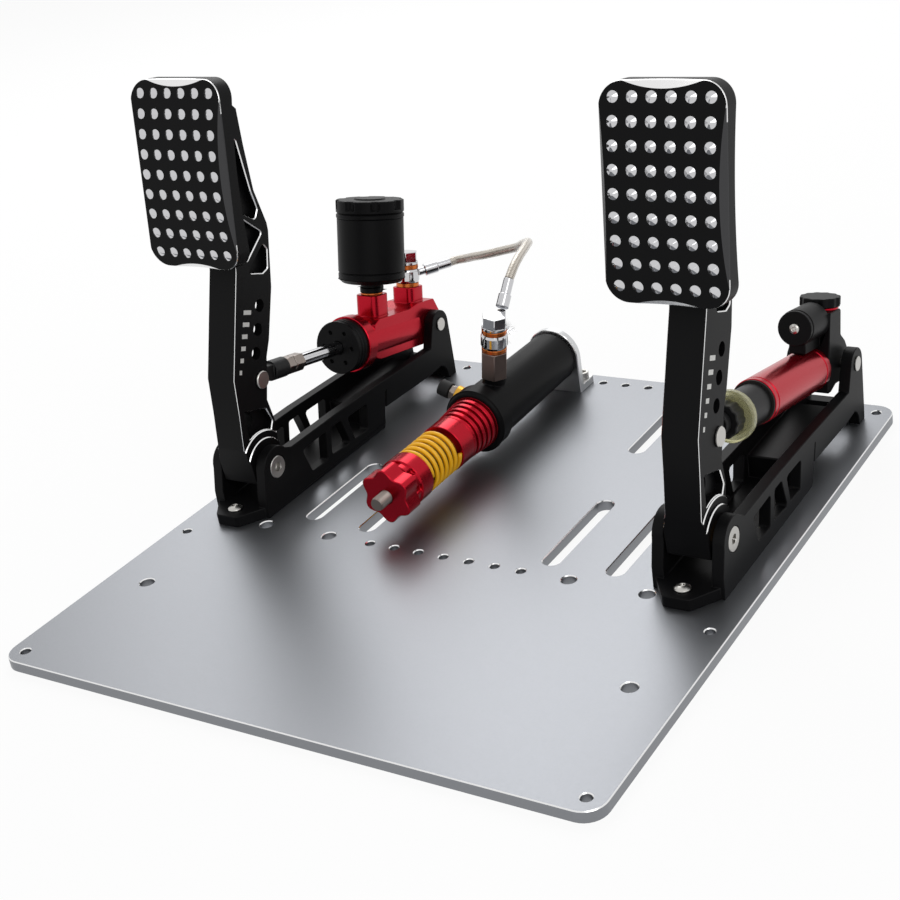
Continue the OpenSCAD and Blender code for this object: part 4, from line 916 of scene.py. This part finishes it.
class PEDALS_OT_stage(bpy.types.Operator):
    """The pale floor, the soft lamps and the camera."""

    bl_idname = "pedals.stage"
    bl_label = "Stage"

    def execute(self, context):
        settings = context.scene.pedal_stage
        scene = context.scene
        # The floor reaches 6 m to each side and lies a little below the plate
        corners = 6 * np.array([[-1, -1, 0], [1, -1, 0], [1, 1, 0], [-1, 1, 0]], float) - [0, 0, 0.0002]
        floor = put_mesh("floor", corners, [(0, 1, 2, 3)], self.floor_paint(settings.floor_colour))
        self.lamp("key", (-0.9, 1.3, 1.5), (0, 0, 0), 1.6, settings.key_power)
        self.lamp("fill", (1.3, -1.0, 1.4), (0, 0, 0.1), 1.2, settings.fill_power)
        world = bpy.data.worlds.new("studio")
        tree = empty_tree(world)
        # The background looks white, and lights the set with 0.55 of that
        strength = add(tree, "ShaderNodeMapRange", [("Value", self.seen_directly(tree))],
                       to_min=0.55, to_max=1.0)
        light = add(tree, "ShaderNodeBackground", [("Strength", strength.outputs["Result"])],
                    color=(1.0, 1.0, 1.0))
        add(tree, "ShaderNodeOutputWorld", [("Surface", light.outputs["Background"])])
        scene.world = world
        scene.view_settings.view_transform = "Standard"
        # The camera that fits the photograph: its width, the length of the lens and the shifts in pixels,
        # the place in millimetres, and the turn, tilt and roll in degrees
        sensor, photo_width, lens_pixels, shift = 36, 900, 1588.4, (-40.0, -10.0)
        place, turn, tilt, roll = [551.5, -535.9, 520.7], 34.308, 25.705, -8.727
        lens = bpy.data.cameras.new("photo_camera")
        lens.lens = sensor * lens_pixels / photo_width
        lens.sensor_width = sensor
        lens.shift_x = shift[0] / photo_width
        lens.shift_y = shift[1] / photo_width
        lens.clip_end = 50
        eye = bpy.data.objects.new("photo_camera", lens)
        scene.collection.objects.link(eye)
        eye.matrix_world = (Matrix.Translation(at(place).tolist()) @
                            Matrix.Rotation(radians(turn), 4, "Z") @
                            Matrix.Rotation(radians(90 - tilt), 4, "X") @
                            Matrix.Rotation(radians(roll), 4, "Z"))
        scene.camera = eye
        return {"FINISHED"}

    @staticmethod
    def seen_directly(tree):
        """1 where the camera, a reflection or a clear piece sees the background, and 0 for the light
        that it gives."""
        path = add(tree, "ShaderNodeLightPath")
        seen = add(tree, "ShaderNodeMath", [(0, path.outputs["Is Camera Ray"]),
                                            (1, path.outputs["Is Glossy Ray"])], operation="MAXIMUM")
        both = add(tree, "ShaderNodeMath", [(0, seen.outputs[0]),
                                            (1, path.outputs["Is Transmission Ray"])], operation="MAXIMUM")
        return both.outputs[0]

    def floor_paint(self, colour):
        """White paper: it takes the object's shadow, and away from it looks as white as the background."""
        made = bpy.data.materials.new("white_paper")
        tree = empty_tree(made)
        paper = add(tree, "ShaderNodeBsdfDiffuse", color=colour)
        glow = add(tree, "ShaderNodeEmission", color=(1.0, 1.0, 1.0), strength=1.0)
        whiteness = 0.9
        share = add(tree, "ShaderNodeMath", [(0, self.seen_directly(tree))], operation="MULTIPLY")
        share.inputs[1].default_value = whiteness
        mix = add(tree, "ShaderNodeMixShader",
                  [("Fac", share.outputs[0]), (1, paper.outputs["BSDF"]), (2, glow.outputs["Emission"])])
        add(tree, "ShaderNodeOutputMaterial", [("Surface", mix.outputs["Shader"])])
        return made

    @staticmethod
    def lamp(name, place, target, size, power):
        """A square soft lamp at a place, turned to a target."""
        data = bpy.data.lights.new(name, "AREA")
        data.size = size
        data.energy = power
        made = bpy.data.objects.new(name, data)
        bpy.context.scene.collection.objects.link(made)
        made.location = place
        way = np.array(target, float) - place
        made.rotation_euler = (float(np.arctan2(np.hypot(way[0], way[1]), -way[2])), 0.0,
                               float(np.arctan2(-way[0], way[1])))


class PEDALS_PT_panel(bpy.types.Panel):
    """Lists the pieces of the pedal set and their settings."""

    bl_idname = "PEDALS_PT_panel"
    bl_label = "Pedal Set"
    bl_space_type = "VIEW_3D"
    bl_region_type = "UI"
    bl_category = "Pedals"

    def draw(self, context):
        scene = context.scene
        for group in (scene.pedal_plate, scene.pedal_parts, scene.pedal_brake, scene.pedal_stage):
            box = self.layout.box()
            for name in group.bl_rna.properties.keys():
                if name not in ("rna_type", "name"):
                    box.prop(group, name)
        for operator in OPERATORS:
            self.layout.operator(operator.bl_idname)


SETTINGS = {"pedal_plate": PlateSettings, "pedal_parts": PedalSettings, "pedal_brake": BrakeSettings,
            "pedal_stage": StageSettings}
OPERATORS = (PEDALS_OT_stage, PEDALS_OT_base_plate, PEDALS_OT_brackets, PEDALS_OT_arms, PEDALS_OT_pads,
             PEDALS_OT_master_cylinder, PEDALS_OT_fittings, PEDALS_OT_slave_cylinder,
             PEDALS_OT_preload_spring, PEDALS_OT_brake_hose, PEDALS_OT_damper)


def register():
    for kind in (*SETTINGS.values(), *OPERATORS, PEDALS_PT_panel):
        bpy.utils.register_class(kind)
    for name, kind in SETTINGS.items():
        setattr(bpy.types.Scene, name, PointerProperty(type=kind))


def unregister():
    for name in SETTINGS:
        delattr(bpy.types.Scene, name)
    for kind in reversed((*SETTINGS.values(), *OPERATORS, PEDALS_PT_panel)):
        bpy.utils.unregister_class(kind)


def main():
    """Builds every piece in order."""
    register()
    for operator in OPERATORS:
        group, name = operator.bl_idname.split(".")
        getattr(getattr(bpy.ops, group), name)()


if __name__ == "__main__":
    main()
